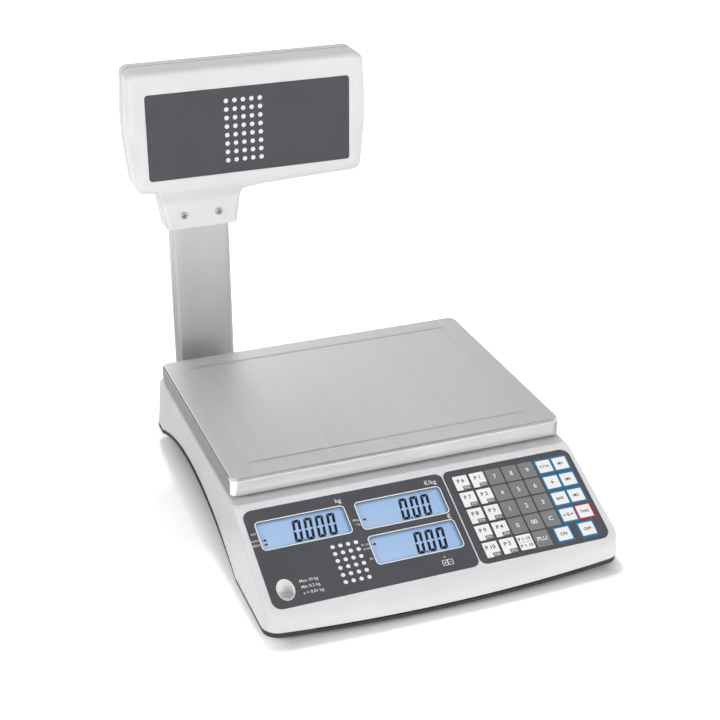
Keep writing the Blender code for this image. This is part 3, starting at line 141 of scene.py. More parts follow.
class Look:
    """A Principled material with a few helpers for its nodes."""

    def __init__(self, name, **sockets):
        self.material = bpy.data.materials.new(name)
        self.material.use_nodes = True
        self.tree = self.material.node_tree
        self.shader = self.tree.nodes["Principled BSDF"]
        for socket, value in sockets.items():
            self.shader.inputs[socket.replace("_", " ")].default_value = value

    def node(self, kind, **inputs):
        made = self.tree.nodes.new("ShaderNode" + kind)
        for socket, value in inputs.items():
            self.link(value, made.inputs[socket.replace("_", " ")])
        return made

    def link(self, value, socket):
        if isinstance(value, bpy.types.NodeSocket):
            self.tree.links.new(value, socket)
        else:
            socket.default_value = value

    def coordinates(self, kind):
        return self.node("TexCoord").outputs[kind]

    def axis(self, kind, letter):
        return self.node("SeparateXYZ", Vector=self.coordinates(kind)).outputs[letter]

    def noise(self, scale, detail=3.0, roughness=0.55):
        place = self.node("Mapping", Vector=self.coordinates("Object"), Scale=scale).outputs[0]
        made = self.node("TexNoise", Vector=place, Scale=1.0, Detail=detail, Roughness=roughness)
        return made.outputs["Fac"]

    def spread(self, value, low, high, start=0.3, end=0.7):
        """A value that goes from low to high while another goes from start to end."""
        ends = {"From_Min": start, "From_Max": end, "To_Min": low, "To_Max": high}
        return self.node("MapRange", Value=value, **ends).outputs["Result"]

    def blend(self, share, first, second):
        made = self.tree.nodes.new("ShaderNodeMix")
        made.data_type = "RGBA"
        for index, value in ((0, share), (6, first), (7, second)):
            self.link(value, made.inputs[index])
        return made.outputs[2]

    def math(self, operation, first, second):
        made = self.node("Math")
        made.operation = operation
        self.link(first, made.inputs[0])
        self.link(second, made.inputs[1])
        return made.outputs[0]

    def colour(self, value):
        self.link(value, self.shader.inputs["Base Color"])

    def rough(self, value):
        self.link(value, self.shader.inputs["Roughness"])

    def bump(self, height, strength, distance):
        made = self.node("Bump", Height=height, Strength=strength, Distance=distance)
        self.link(made.outputs[0], self.shader.inputs["Normal"])

    def surface(self, shader):
        """Put another shader in the place of the Principled one."""
        self.link(shader.outputs[0], self.tree.nodes["Material Output"].inputs["Surface"])


def moulded(name, light, dark, rough, grain=GRAIN_SCALE, depth=GRAIN_DEPTH,
            strength=GRAIN_STRENGTH, seam_shade=None, **sockets):
    """Moulded plastic or printed film: faint clouding, a fine grain and uneven gloss.

    The seam argument gives the Y and the colour of painted shade along a parting line.
    """
    look = Look(name, **sockets)
    cloud = look.noise((CLOUD_SCALE,) * 3, 2.0)
    fine = look.noise((grain,) * 3, 2.0)
    plastic = look.blend(look.spread(cloud, 0.0, 1.0), srgb(light), srgb(dark))
    # painted shade: the plastic darkens to the line's colour close to the parting line's Y
    if seam_shade:
        at, line = seam_shade
        y = look.axis("Object", "Y")
        ahead = look.spread(y, 1.0, 0.0, at - SEAM_SHADE_EDGE, at - SEAM_SHADE_CORE)
        behind = look.spread(y, 0.0, 1.0, at + SEAM_SHADE_CORE, at + SEAM_SHADE_EDGE)
        plastic = look.blend(look.math("MAXIMUM", ahead, behind), srgb(line), plastic)
    look.colour(plastic)
    look.rough(look.spread(fine, rough - 0.05, rough + 0.07))
    look.bump(fine, strength, depth)
    return look.material


def printed(name, code, rough, **sockets):
    """Printing ink or thin paint."""
    levels = [max(0, int(code[i:i + 2], 16) - INK_CLOUD) for i in (0, 2, 4)]
    dark = "".join(f"{level:02X}" for level in levels)
    return moulded(name, code, dark, rough, INK_SCALE, INK_DEPTH, INK_STRENGTH, **sockets)


def drawn_out(scale, axis):
    """Noise scale that is drawn out along one axis."""
    across, along = scale
    return [along if i == axis else across for i in range(3)]


def brushed(name, light, dark, axis, rough, edge=None):
    """Brushed steel with its grain along one axis.

    edge is the roughness of its turned edges, between the top and the upright faces.
    """
    look = Look(name, Metallic=1.0)
    lines = look.noise(drawn_out(LINE_SCALE, axis), 5.0, 0.7)
    bands = look.noise(drawn_out(BAND_SCALE, axis))
    streaks = look.spread(lines, 0.35, 1.0, 0.2, 0.8)
    share = look.math("MULTIPLY", streaks, look.spread(bands, 0.7, 1.0))
    steel = look.blend(share, srgb(dark), srgb(light))
    if edge:
        upward = look.axis("Normal", "Z")
        top = look.spread(upward, edge, rough, 0.7, 0.98)
        side = look.spread(upward, SKIRT_ROUGH, edge, 0.1, 0.4)
        around = look.math("MAXIMUM", top, side)
        look.rough(look.math("MULTIPLY", around, look.spread(lines, 0.85, 1.2, 0.2, 0.8)))
        skirt = look.spread(upward, 1.0, 0.0, 0.1, 0.4)
        look.colour(look.blend(skirt, steel, srgb(SKIRT_COLOUR)))
    else:
        look.rough(look.spread(lines, rough - 0.07, rough + 0.1, 0.2, 0.8))
        look.colour(steel)
    look.bump(lines, 0.12, 0.00004)
    return look.material


def lit_display(name, near, far, shade):
    """Pale blue display, palest near its lower left.

    Painted shade darkens it under the upper and right edges of its window.
    """
    look = Look(name, **GLASSY)
    x, y = look.axis("Generated", "X"), look.axis("Generated", "Y")
    # painted shade under the window's upper and right edges
    upper = look.spread(y, 1.0, 0.0, 0.8, 0.94)
    right = look.spread(x, 1.0, 0.0, 0.93, 0.985)
    cells = look.noise((900.0,) * 3, 2.0)
    open_part = look.math("MULTIPLY", upper, right)
    share = look.math("MULTIPLY", open_part, look.spread(cells, 0.92, 1.0))
    away = look.spread(look.math("ADD", x, y), 0.0, 1.0, 0.2, 1.6)
    pale = look.blend(away, srgb(near), srgb(far))
    look.colour(look.blend(share, srgb(shade), pale))
    look.rough(look.spread(cells, 0.12, 0.2))
    return look.material


HEAD_SEAM = (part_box("head_front_shell")[1].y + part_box("head_rear_shell")[0].y) / 2
WHITE = moulded("housing_plastic", "E6E6E8", "E0E0E3", 0.42)
# the head's plastic carries painted shade along the parting line between its two shells
HEAD_WHITE = moulded("head_plastic_seam_shade", "EEEEEE", "E8E8E9", 0.42, seam_shade=(HEAD_SEAM, "8E8E90"))
SLEEVE = moulded("level_recess", "F2F2F2", "EBEBEB", 0.5)
DARK = moulded("tray_plastic", "434345", "3B3B3D", 0.55, 1800.0, 0.00005, 0.35, **MATT)
FILM = moulded("overlay_film", "535458", "4F5054", 0.5, 3200.0, 0.00002, 0.3, **MATT)
PAN_STEEL = brushed("pan_steel", "E4E4E4", "D2D2D2", 1, 0.47, 0.2)
COLUMN_STEEL = brushed("column_steel", "E0E0E0", "CACACB", 2, 0.5)
SCREW_STEEL = brushed("screw_steel", "D2D2D4", "A4A4A7", 0, 0.3)
ALUMINIUM = brushed("plain_aluminium", "C9CBCE", "A9ABAF", 0, 0.42)
RUBBER = moulded("foot_rubber", "232324", "1B1B1C", 0.8, 1400.0, 0.00006, 0.5)
BOARD = moulded("board_green", "1D6B3C", "17562F", 0.4)
BATTERY = moulded("battery_plastic", "3A3D42", "303338", 0.5)
INK = printed("lcd_ink", "070B20", 0.35)
LABEL = printed("white_print", "F2F2F3", 0.4)
FRAME = printed("window_frame", "F8F9FB", 0.3)
KEY_WHITE = printed("key_white", "FAFAFB", 0.36)
KEY_GREY = printed("key_grey", "868686", 0.42, Specular_IOR_Level=0.35)
KEY_INK = printed("key_ink", "26272B", 0.45)
BLUE = printed("blue_print", "177EAE", 0.4)
RED = printed("red_print", "C40F2C", 0.4)
# dark grey for the walls of the screws' cross: painted shade in the recess
RECESS_SHADE = printed("screw_recess_shade", "6C6D71", 0.6)
LAMP = printed("lamp_lens", "A8A43C", 0.2, Coat_Weight=0.5)
FLUID = printed("level_fluid", "DBDED2", 0.1, Coat_Weight=0.8, Coat_Roughness=0.03)
BUBBLE = printed("level_bubble", "F1F4E4", 0.08, Coat_Weight=0.8)
CONTACT = brushed("contact_metal", "D0CDC4", "8E8B84", 1, 0.25)
# the last colour is the painted shade under each window's edges
LCD = lit_display("lcd_blue", "B6D4F7", "A6C7F0", "7494C2")
REAR_LCD = moulded("rear_lcd_blue", "A5C6EC", "9CBEE6", 0.16, 700.0, 0.000004, 0.1, **GLASSY)


# Shapes

SMOOTH_ANGLE, SOFT_ANGLE, FLAT_ANGLE = 32.0, 34.0, 0.6
WELD = 0.000004
THIN, BOLD = 0.005, 0.018  # how far lettering is thickened, as a share of its size


def add(name, data):
    made = bpy.data.objects.new(name, data)
    bpy.context.collection.objects.link(made)
    return made


def finish_piece(piece, body, nodes=(), angle=SMOOTH_ANGLE, bevel=0.0, steps=2):
    """Shade, soften and hang a new piece on its body."""
    piece.data.shade_smooth()
    piece.data.set_sharp_from_angle(angle=radians(angle))
    if bevel:
        soft = piece.modifiers.new("soft_edges", "BEVEL")
        soft.width = bevel
        soft.segments = steps
        soft.limit_method = "ANGLE"
        soft.angle_limit = radians(SOFT_ANGLE)
        soft.harden_normals = True
    even = piece.modifiers.new("even_normals", "WEIGHTED_NORMAL")
    even.keep_sharp = True
    if nodes:
        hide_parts(*nodes)
    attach(piece, body)
    return piece


def dress(node, look, bevel, steps, sink=0.0):
    """A copy of a CAD solid with flat faces joined up, soft edges and its own look.

    sink lowers its rear face.
    """
    bm = bmesh.new()
    bm.from_mesh(NODES[node].data)
    bmesh.ops.remove_doubles(bm, verts=bm.verts, dist=WELD)
    bmesh.ops.dissolve_limit(
        bm, angle_limit=radians(FLAT_ANGLE), verts=bm.verts, edges=bm.edges)
    if sink:
        rear = max(v.co.y for v in bm.verts) - sink
        for v in bm.verts:
            v.co.y = min(v.co.y, rear)
    mesh = bpy.data.meshes.new(node + "_look")
    bm.to_mesh(mesh)
    bm.free()
    mesh.materials.clear()
    mesh.materials.append(look)
    piece = add(node + "_look", mesh)
    finish_piece(piece, BODY_OF[node], (node,), bevel=bevel, steps=steps)


def rounded(width, height, radius, centre=(0.0, 0.0), steps=5):
    """Points round a rectangle with round corners, anticlockwise."""
    points = []
    for quarter, (sx, sy) in enumerate(((1, 1), (-1, 1), (-1, -1), (1, -1))):
        cx = centre[0] + sx * (width / 2 - radius)
        cy = centre[1] + sy * (height / 2 - radius)
        for k in range(steps + 1):
            turn = pi / 2 * (quarter + k / steps)
            points.append((cx + radius * cos(turn), cy + radius * sin(turn)))
    return points


def oval(half_width, half_depth, centre=(0.0, 0.0), steps=36):
    turns = [2 * pi * k / steps for k in range(steps)]
    return [(centre[0] + half_width * cos(t), centre[1] + half_depth * sin(t)) for t in turns]


def disc(radius, centre=(0.0, 0.0), steps=28):
    return oval(radius, radius, centre, steps)


def at_height(outline, z):
    return [(x, y, z) for x, y in outline]


GLYPHS = {}


def glyphs(words, weight):
    """Points, faces and width of flat lettering at a size of one metre, about its middle."""
    if (words, weight) not in GLYPHS:
        curve = bpy.data.curves.new("lettering", "FONT")
        curve.body = words
        curve.align_x = "CENTER"
        curve.align_y = "CENTER"
        curve.resolution_u = 3
        curve.offset = weight
        holder = add("lettering", curve)
        shown = holder.evaluated_get(bpy.context.evaluated_depsgraph_get())
        mesh = shown.to_mesh()
        xs, ys = [v.co.x for v in mesh.vertices], [v.co.y for v in mesh.vertices]
        x, y = (min(xs) + max(xs)) / 2, (min(ys) + max(ys)) / 2
        points = [(v.co.x - x, v.co.y - y) for v in mesh.vertices]
        faces = [tuple(f.vertices) for f in mesh.polygons]
        GLYPHS[words, weight] = (points, faces, max(xs) - min(xs))
        shown.to_mesh_clear()
        bpy.data.objects.remove(holder)
        bpy.data.curves.remove(curve)
    return GLYPHS[words, weight]


class Work:
    """One mesh put together from several shapes, each with its own look."""

    def __init__(self):
        self.bm = bmesh.new()
        self.looks = []

    def faces(self, points, faces, look):
        if look not in self.looks:
            self.looks.append(look)
        verts = [self.bm.verts.new(p) for p in points]
        for face in faces:
            made = self.bm.faces.new([verts[i] for i in face])
            made.material_index = self.looks.index(look)

    def flat(self, outline, height, look):
        self.faces(at_height(outline, height), [range(len(outline))], look)

    def skin(self, rims, look, closed=False):
        """Faces between outlines of equal length, and over both ends if closed."""
        n = len(rims[0])
        last = n * (len(rims) - 1)
        faces = [range(n - 1, -1, -1), range(last, last + n)] if closed else []
        for k in range(0, last, n):
            for i in range(n):
                j = (i + 1) % n
                faces.append((k + i, k + j, k + n + j, k + n + i))
        self.faces([p for rim in rims for p in rim], faces, look)

    def prism(self, outline, low, high, look):
        self.skin([at_height(outline, low), at_height(outline, high)], look, True)

    def band(self, outer, inner, low, high, look):
        """A flat-topped band between two outlines of equal length."""
        rims = [at_height(outer, high), at_height(inner, high)]
        if high > low:
            rims = [at_height(outer, low), *rims, at_height(inner, low)]
        self.skin(rims, look)

    def turned(self, profile, look, centre=(0.0, 0.0), steps=28):
        """A shape turned about the frame's Z from (radius, height) points, closed at its ends."""
        self.skin([at_height(disc(r, centre, steps), z) for r, z in profile], look, True)

    def words(self, words, size, at, height, look, align=0.0, width=None, weight=THIN):
        """Flat lettering. align -1 starts it at the place, 0 centres it and 1 ends it there."""
        points, faces, wide = glyphs(words, weight)
        squeeze = min(1.0, width / (wide * size)) if width else 1.0
        across = size * squeeze
        middle_x = at[0] - align * wide * across / 2
        outline = [(middle_x + x * across, at[1] + y * size) for x, y in points]
        self.faces(at_height(outline, height), faces, look)

    def mesh(self, name, place):
        made = bpy.data.meshes.new(name)
        bmesh.ops.recalc_face_normals(self.bm, faces=self.bm.faces)
        self.bm.transform(place)
        self.bm.to_mesh(made)
        self.bm.free()
        for look in self.looks:
            made.materials.append(look)
        return made

    def done(self, name, place, body, slot, nodes=(), bevel=0.0, angle=SMOOTH_ANGLE):
        piece = add(name, self.mesh(name, place))
        return finish_piece(piece, body, nodes, angle, bevel)


# Casings, pan, column and what is inside

DRESSED = (  # node, look, size of its soft edges, their steps, and how far its rear sinks
    ("top_housing", WHITE, 0.0005, 3),
    ("base_tray", DARK, 0.0006, 2),
    ("head_front_shell", HEAD_WHITE, 0.0006, 2),
    ("head_rear_shell", HEAD_WHITE, 0.0006, 2),
    ("weighing_pan", PAN_STEEL, 0.0003, 2),
    ("column", COLUMN_STEEL, 0.0003, 2),
    ("display_overlay", FILM, 0.00012, 2),
    ("keypad_overlay", FILM, 0.00012, 2),
    ("head_panel", FILM, 0.00015, 2),
    ("customer_panel", FILM, 0.0001, 2, REAR_SINK),
    ("pan_support", ALUMINIUM, 0.0006, 2),
    ("load_cell", ALUMINIUM, 0.0004, 2),
    ("console_board", BOARD, 0.0001, 1),
    ("battery", BATTERY, 0.0008, 2),
    ("customer_board", REAR_LCD, 0.0001, 1),
    ("lcd_weight", LCD, 0.0001, 1),
    ("lcd_unit_price", LCD, 0.0001, 1),
    ("lcd_total", LCD, 0.0001, 1),
    ("foot_front_left", RUBBER, 0.0004, 2),
    ("foot_front_right", RUBBER, 0.0004, 2),
    ("foot_rear_left", RUBBER, 0.0004, 2),
    ("foot_rear_right", RUBBER, 0.0004, 2),
)
for node, *how in DRESSED:
    dress(node, *how)


# Displays: figures of segments, pointers and window frames

SLANT = 0.13
LCD_BORDER = 0.0016  # what the window covers of an operator display, on each side
FRAME_WIDTH, FRAME_RISE, FRAME_CORNER, FRAME_SOFT = 0.0009, 0.00012, 0.0028, 0.00006
FIGURE_WIDTH, FIGURE_PITCH, FIGURE_FOOT = 0.34, 0.4725, 0.32  # shares of height and spare room


def nought(work, left, foot, width, height, stroke, level):
    """A slanted nought of six segments, from its lower left corner."""
    gap, bar, cut = stroke * 0.08, stroke * 1.15, stroke * 0.3
    half = height / 2

    def over(shape):
        return [(x, height - y) for x, y in shape]

    def across(shape):
        return [(width - x, y) for x, y in shape]

    half_bar = [(cut + gap, 0), (cut + gap, cut), (stroke + gap, bar)]
    bottom = half_bar + across(half_bar)[::-1]
    side = [
        (0, cut + gap), (cut, cut + gap), (stroke, bar + gap),
        (stroke, half - stroke / 2 - gap), (0, half - gap),
    ]
    shapes = (over(bottom), across(over(side)), across(side), bottom, side, over(side))
    for shape in shapes:
        outline = [(left + x + (y - half) * SLANT, foot + y) for x, y in shape]
        following = outline[1:] + outline[:1]
        turn = sum(p[0] * q[1] - q[0] * p[1] for p, q in zip(outline, following))
        work.flat(outline if turn > 0 else outline[::-1], level, INK)


def display(work, low, high, level, reading, height, right, stroke):
    """Figures that end a given way from the right side of a window, on a lit display."""
    width, pitch = height * FIGURE_WIDTH, height * FIGURE_PITCH
    foot = low.y + (high.y - low.y - height) * FIGURE_FOOT
    left = high.x - right - width
    for character in reversed(reading):
        if character == ".":
            x = left + width + (pitch - width) / 2 - height / 2 * SLANT
            point = rounded(
                stroke * 0.66, stroke * 0.7, stroke * 0.2, (x, foot + stroke * 0.33), 2)
            work.flat(point, level, INK)
        else:
            nought(work, left, foot, width, height, stroke, level)
            left -= pitch


def frame_band(work, low, high):
    """White frame printed thick round a window."""
    centre = ((low.x + high.x) / 2, (low.y + high.y) / 2)
    width, height = high.x - low.x, high.y - low.y
    outer = rounded(
        width + 2 * FRAME_WIDTH, height + 2 * FRAME_WIDTH, FRAME_CORNER + FRAME_WIDTH, centre)
    inner = rounded(width, height, FRAME_CORNER, centre)
    work.band(outer, inner, 0.0, FRAME_RISE, FRAME)


OPERATOR_DISPLAYS = (  # node, reading, room right of it, and its pointers' ways from the top
    ("lcd_weight", "0.000", 0.0100, (0.0165, 0.0205)),
    ("lcd_unit_price", "0.00", 0.0124, (0.016,)),
    ("lcd_total", "0.00", 0.0116, (0.0065,)),
)
OPERATOR_HEIGHT, OPERATOR_STROKE = 0.0205, 0.0023
POINTER_INSET, POINTER_LENGTH, POINTER_HALF = 0.0014, 0.0034, 0.0013

marks = Work()
frames = Work()
for node, reading, right, pointers in OPERATOR_DISPLAYS:
    low, high = extent(node, CONSOLE)
    border = Vector((LCD_BORDER, LCD_BORDER, 0))
    low, high, level = low + border, high - border, high.z + PRINT
    display(marks, low, high, level, reading, OPERATOR_HEIGHT, right, OPERATOR_STROKE)
    for down in pointers:
        x, y = low.x + POINTER_INSET, high.y - down
        base = x + POINTER_LENGTH
        marks.flat([(x, y), (base, y - POINTER_HALF), (base, y + POINTER_HALF)], level, INK)
    frame_band(frames, low, high)
marks.done("operator_figures", CONSOLE, "base", "lcd_glass")
frames.done("operator_window_frames", CONSOLE, "base", "key_white", bevel=FRAME_SOFT)

# Customer's windows on the rear of the head: two in a row over one
WINDOW_GAP = 0.0105
CUSTOMER_HEIGHT, CUSTOMER_STROKE, CUSTOMER_RIGHT = 0.0176, 0.0020, 0.0090
UNIT_SIZE, UNIT_INSET, UNIT_RISE = 0.0062, 0.001, 0.0044

customer = Work()
customer_frames = Work()
low, high = extent("customer_panel", CUSTOMER_FACE)
window_width = (high.x - low.x - 4 * WINDOW_GAP) / 2
window_height = (high.y - low.y - 3 * WINDOW_GAP) / 2
aside, above = (window_width + WINDOW_GAP) / 2, (window_height + WINDOW_GAP) / 2
lit_face = extent("customer_board", CUSTOMER_FACE)[1].z + PRINT
half_window = Vector((window_width / 2, window_height / 2, 0))
CUSTOMER_DISPLAYS = (
    ((aside, above), "0.00", "€/kg"),
    ((-aside, above), "0.000", "kg"),
    ((0.0, -above), "0.00", "€"),
)
for (x, y), reading, unit in CUSTOMER_DISPLAYS:
    low, high = Vector((x, y, 0)) - half_window, Vector((x, y, 0)) + half_window
    display(
        customer, low, high, lit_face, reading,
        CUSTOMER_HEIGHT, CUSTOMER_RIGHT, CUSTOMER_STROKE)
    frame_band(customer_frames, low, high)
    corner = (high.x - UNIT_INSET, high.y + UNIT_RISE)
    customer_frames.words(unit, UNIT_SIZE, corner, PRINT, LABEL, 1)
customer.done("customer_figures", CUSTOMER_FACE, "base", "lcd_glass")
customer_frames.done(
    "customer_window_frames", CUSTOMER_FACE, "base", "key_white", bevel=FRAME_SOFT)


# Printing on the console and on the head

STARTS, CENTRED, ENDS = -1.0, 0.0, 1.0
TINY, RATING = 0.0026, 0.0037  # sizes of small lettering
LEFT_LIST, MIDDLE_LIST, RATING_LEFT = -0.1394, -0.0550, -0.1193
CONSOLE_WORDS = (  # words, size, way across and down from the overlays' upper edge, and how set
    ("kg", 0.0058, -0.0657, 0.0072, CENTRED),
    ("€/kg", 0.0058, 0.0155, 0.0072, CENTRED),
    ("€", 0.0062, 0.0192, 0.0422, CENTRED),
    ("NET", TINY, LEFT_LIST, 0.0222, ENDS),
    ("AUTO", TINY, LEFT_LIST, 0.0287, ENDS),
    ("ZERO", TINY, LEFT_LIST, 0.0328, ENDS),
    ("100 g", TINY, MIDDLE_LIST, 0.0283, ENDS),
    ("1 kg", TINY, MIDDLE_LIST, 0.0325, ENDS),
    ("P1-10", TINY, MIDDLE_LIST, 0.0520, ENDS),
    ("P>10", TINY, MIDDLE_LIST, 0.0560, ENDS),
    ("M+", TINY, MIDDLE_LIST, 0.0656, ENDS),
    ("Max 10 kg", RATING, RATING_LEFT, 0.0722, STARTS),
    ("Min 0.2 kg", RATING, RATING_LEFT, 0.0776, STARTS),
    ("e = 0.01 kg", RATING, RATING_LEFT, 0.0830, STARTS),
)
CELL_Y, MINUS_CELL_X, PLUS_CELL_X = -0.0832, 0.0044, -0.0002  # battery sign by the lamp
CELL_OUTER, CELL_INNER = (0.0046, 0.0052, 0.0004), (0.0036, 0.0042, 0.0002)
SIGN_LENGTH, SIGN_WIDTH, SIGN_CORNER = 0.0020, 0.0005, 0.0002
LAMP_PLACE = (0.0012, -0.0779)
LAMP_PROFILE = ((0.0011, 0.0), (0.0010, 0.0003), (0.0007, 0.0005), (0.0002, 0.0006))


def dot_field(work, columns, rows, first, pitch, radius, steps):
    """Plain field of dots, from its upper left one."""
    for column in range(columns):
        for row in range(rows):
            centre = (first[0] + column * pitch, first[1] - row * pitch)
            work.flat(disc(radius, centre, steps), PRINT, LABEL)


labels = Work()
for words, size, x, down, align in CONSOLE_WORDS:
    labels.words(words, size, (x, -down), PRINT, LABEL, align)
dot_field(
    labels, columns=4, rows=6, first=(-0.0840, -0.0480), pitch=0.0066, radius=0.0018, steps=20)
for x in (PLUS_CELL_X, MINUS_CELL_X):
    cell = (x, CELL_Y)
    outer, inner = rounded(*CELL_OUTER, cell, 2), rounded(*CELL_INNER, cell, 2)
    labels.band(outer, inner, PRINT, PRINT, LABEL)
    labels.flat(rounded(SIGN_LENGTH, SIGN_WIDTH, SIGN_CORNER, cell, 2), PRINT, LABEL)
labels.flat(
    rounded(SIGN_WIDTH, SIGN_LENGTH, SIGN_CORNER, (PLUS_CELL_X, CELL_Y), 2), PRINT, LABEL)
labels.done("console_print", CONSOLE, "base", "key_white")

lamp = Work()
lamp.turned(LAMP_PROFILE, LAMP, LAMP_PLACE, 20)
lamp.done("charge_lamp", CONSOLE, "base", "key_white", angle=60)

dots = Work()
dot_field(
    dots, columns=5, rows=8, first=(-0.0215, 0.0273), pitch=0.0078, radius=0.0021, steps=24)
dots.done("panel_print", OPERATOR_FACE, "base", "key_white")


# Keys with their legends

LEGENDS = {
    "key_total": ("TOTAL", 0.0031),
    "key_memory_add": ("M+", 0.0040),
    "key_add": ("+", 0.0062),
    "key_memory_recall": ("MR", 0.0038),
    "key_bar": ("BAR", 0.0036),
    "key_memory_clear": ("MC", 0.0038),
    "key_zero": ("0", 0.0046),
    "key_tare": ("TARE", 0.0034),
    "key_on": ("ON", 0.0040),
    "key_off": ("OFF", 0.0040),
    "key_clear": ("C", 0.0058),
    "key_lookup": ("PLU", 0.0054),
}
FIGURE_SIZE = 0.0058  # of keys that are named by their figures
RINGS = dict.fromkeys((
    "key_total", "key_memory_add", "key_add", "key_memory_recall", "key_bar",
    "key_memory_clear", "key_zero", "key_on", "key_off"), BLUE)
RINGS["key_tare"] = RED
KEY_CORNER, KEY_SOFT, FACE_CORNER = 0.0009, 0.00014, 0.0005
LOOKUP_MARGIN, RING_MARGIN = 0.0010, 0.0006  # of the white face on its plate, both sides together
RING_GROWTH, BLUE_GROWTH, RING_GAP = 0.0021, 0.0027, 0.00016  # the same for rings about plates
RING_CORNER, RING_RISE = 0.0010, 0.00005
LOOKUP_SIZE, LOOKUP_SHIFT = 0.0050, (-0.0004, 0.0022)
TAG_SHARE, TAG_CORNER, TAG_SIZE = (0.56, 0.27), 0.0003, 0.0030
BANK_SIZE, BANK_RISE, BANK_WIDTH = 0.0042, 0.0032, 0.82
BANK_LINE = (0.8, 0.0003, 0.0001)  # share of the width, thickness and corner
LEGEND_WIDTH = 0.76  # largest share of the key's width
ARROW_TIP, ARROW_LENGTH, ARROW_HALF = 0.0020, 0.0016, 0.0010
SHAFT_MIDDLE, SHAFT = 0.0022, (0.0014, 0.0005, 0.0001)


def make_key(name, rings):
    """A key's plate with its face and legend, and the ring printed round it."""
    low, high = extent(name, CONSOLE)
    centre = x, y = (low.x + high.x) / 2, (low.y + high.y) / 2
    width, height = high.x - low.x, high.y - low.y
    slot = SLOT_OF[name]
    grey = slot == "key_grey"
    ink = LABEL if grey else KEY_INK
    top = high.z + PRINT
    label = name[len("key_"):]
    lookup = label.startswith("lookup_")
    ring = RINGS.get(name)

    plate = Work()
    ground = KEY_GREY if grey else ring or FILM
    plate.prism(rounded(width, height, KEY_CORNER, centre, 3), low.z, high.z, ground)
    plate.done(name + "_look", CONSOLE, name, slot, (name,), bevel=KEY_SOFT)
    if ring:
        tall = height + (BLUE_GROWTH if ring == BLUE else RING_GROWTH)
        outer = rounded(width + RING_GROWTH, tall, RING_CORNER, centre, 3)
        inner = rounded(width + RING_GAP, height + RING_GAP, KEY_CORNER, centre, 3)
        rings.band(outer, inner, 0.0, RING_RISE, ring)

    legend = Work()
    if not grey:
        margin = LOOKUP_MARGIN if lookup else RING_MARGIN
        width, height = width - margin, height - margin
        legend.flat(rounded(width, height, FACE_CORNER, centre, 3), top, KEY_WHITE)
        top += PRINT
    if label == "lookup_bank":
        for words, rise in (("P 1-10", BANK_RISE), ("P > 10", -BANK_RISE)):
            at = (x, y + rise)
            legend.words(words, BANK_SIZE, at, top, ink, CENTRED, width * BANK_WIDTH, BOLD)
        share, thick, corner = BANK_LINE
        legend.flat(rounded(width * share, thick, corner, centre, 1), top, ink)
    elif lookup:
        number = int(label[len("lookup_"):])
        at = (x + LOOKUP_SHIFT[0], y + LOOKUP_SHIFT[1])
        legend.words(f"P {number}", LOOKUP_SIZE, at, top, ink, weight=BOLD)
        wide, tall = width * TAG_SHARE[0], height * TAG_SHARE[1]
        at = (high.x - (margin + wide) / 2, low.y + (margin + tall) / 2)
        legend.flat(rounded(wide, tall, TAG_CORNER, at, 2), top, KEY_GREY)
        legend.words(f"P{number + 10}", TAG_SIZE, at, top + PRINT, LABEL)
    else:
        words, size = LEGENDS.get(name, (label, FIGURE_SIZE))
        legend.words(words, size, centre, top, ink, CENTRED, width * LEGEND_WIDTH, BOLD)
    if name == "key_zero":
        for side in (-1, 1):
            tip = x + side * ARROW_TIP
            base, half = tip + side * ARROW_LENGTH, side * ARROW_HALF
            legend.flat([(tip, y), (base, y + half), (base, y - half)], top, ink)
            legend.flat(rounded(*SHAFT, (tip + side * SHAFT_MIDDLE, y), 1), top, ink)
    legend.done(name + "_legend", CONSOLE, name, slot)


key_rings = Work()
for node in sorted(NODES):
    if node.startswith("key_"):
        make_key(node, key_rings)
key_rings.done("key_rings", CONSOLE, "base", "key_white")


# Spirit level, screws and socket

LEVEL_FACE = -0.0004  # the level's white face, from the top of its solid
VIAL_SHARE = 0.5  # of the level's width
LINING_OUTER, LINING_INNER = 0.00055, 0.0001  # how far the lining lies outside the level
LINING_FOOT, LINING_RISE, LINING_DEPTH = -0.0004, 0.00012, -0.0006

low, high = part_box("spirit_level")
level_top = Vector(((low.x + high.x) / 2, (low.y + high.y) / 2, high.z))
half_width, half_depth, tall = (high.x - low.x) / 2, (high.y - low.y) / 2, high.z - low.z
level = Work()
level.prism(oval(half_width, half_depth), -tall, LEVEL_FACE, SLEEVE)
vial = half_width * VIAL_SHARE
line = LEVEL_FACE + PRINT
level.band(disc(vial * 1.08), disc(vial), line, line, KEY_INK)
dome = ((vial, LEVEL_FACE), (vial, -0.0002), (vial * 0.6, -0.0001), (vial * 0.1, -0.00008))
level.turned(dome, FLUID)
level.band(disc(vial * 0.5), disc(vial * 0.44), PRINT, PRINT, KEY_INK)
bubble = ((vial * 0.36, -0.0001), (vial * 0.3, 0.00001), (vial * 0.12, 0.00004))
level.turned(bubble, BUBBLE, (vial * 0.08, -vial * 0.06))
level.done(
    "spirit_level_look", Matrix.Translation(level_top), "base", "level_clear",
    ("spirit_level",), angle=40)

# White lining of the oval window over the level, from the console down to the level
normal, origin = CONSOLE.to_3x3() @ Vector((0, 0, 1)), CONSOLE.translation


def on_console(outline, rise):
    slope_x, slope_y = normal.x / normal.z, normal.y / normal.z
    return [
        (x, y, origin.z - slope_x * (x - origin.x) - slope_y * (y - origin.y) + rise)
        for x, y in outline
    ]


outer, inner = (
    oval(half_width + more, half_depth + more, level_top.xy)
    for more in (LINING_OUTER, LINING_INNER)
)
lining = Work()
lining.skin([
    on_console(outer, LINING_FOOT), on_console(outer, LINING_RISE),
    on_console(inner, LINING_RISE), at_height(inner, level_top.z + LINING_DEPTH),
], SLEEVE)
lining.done("level_lining", Matrix.Identity(4), "base", "white_plastic")

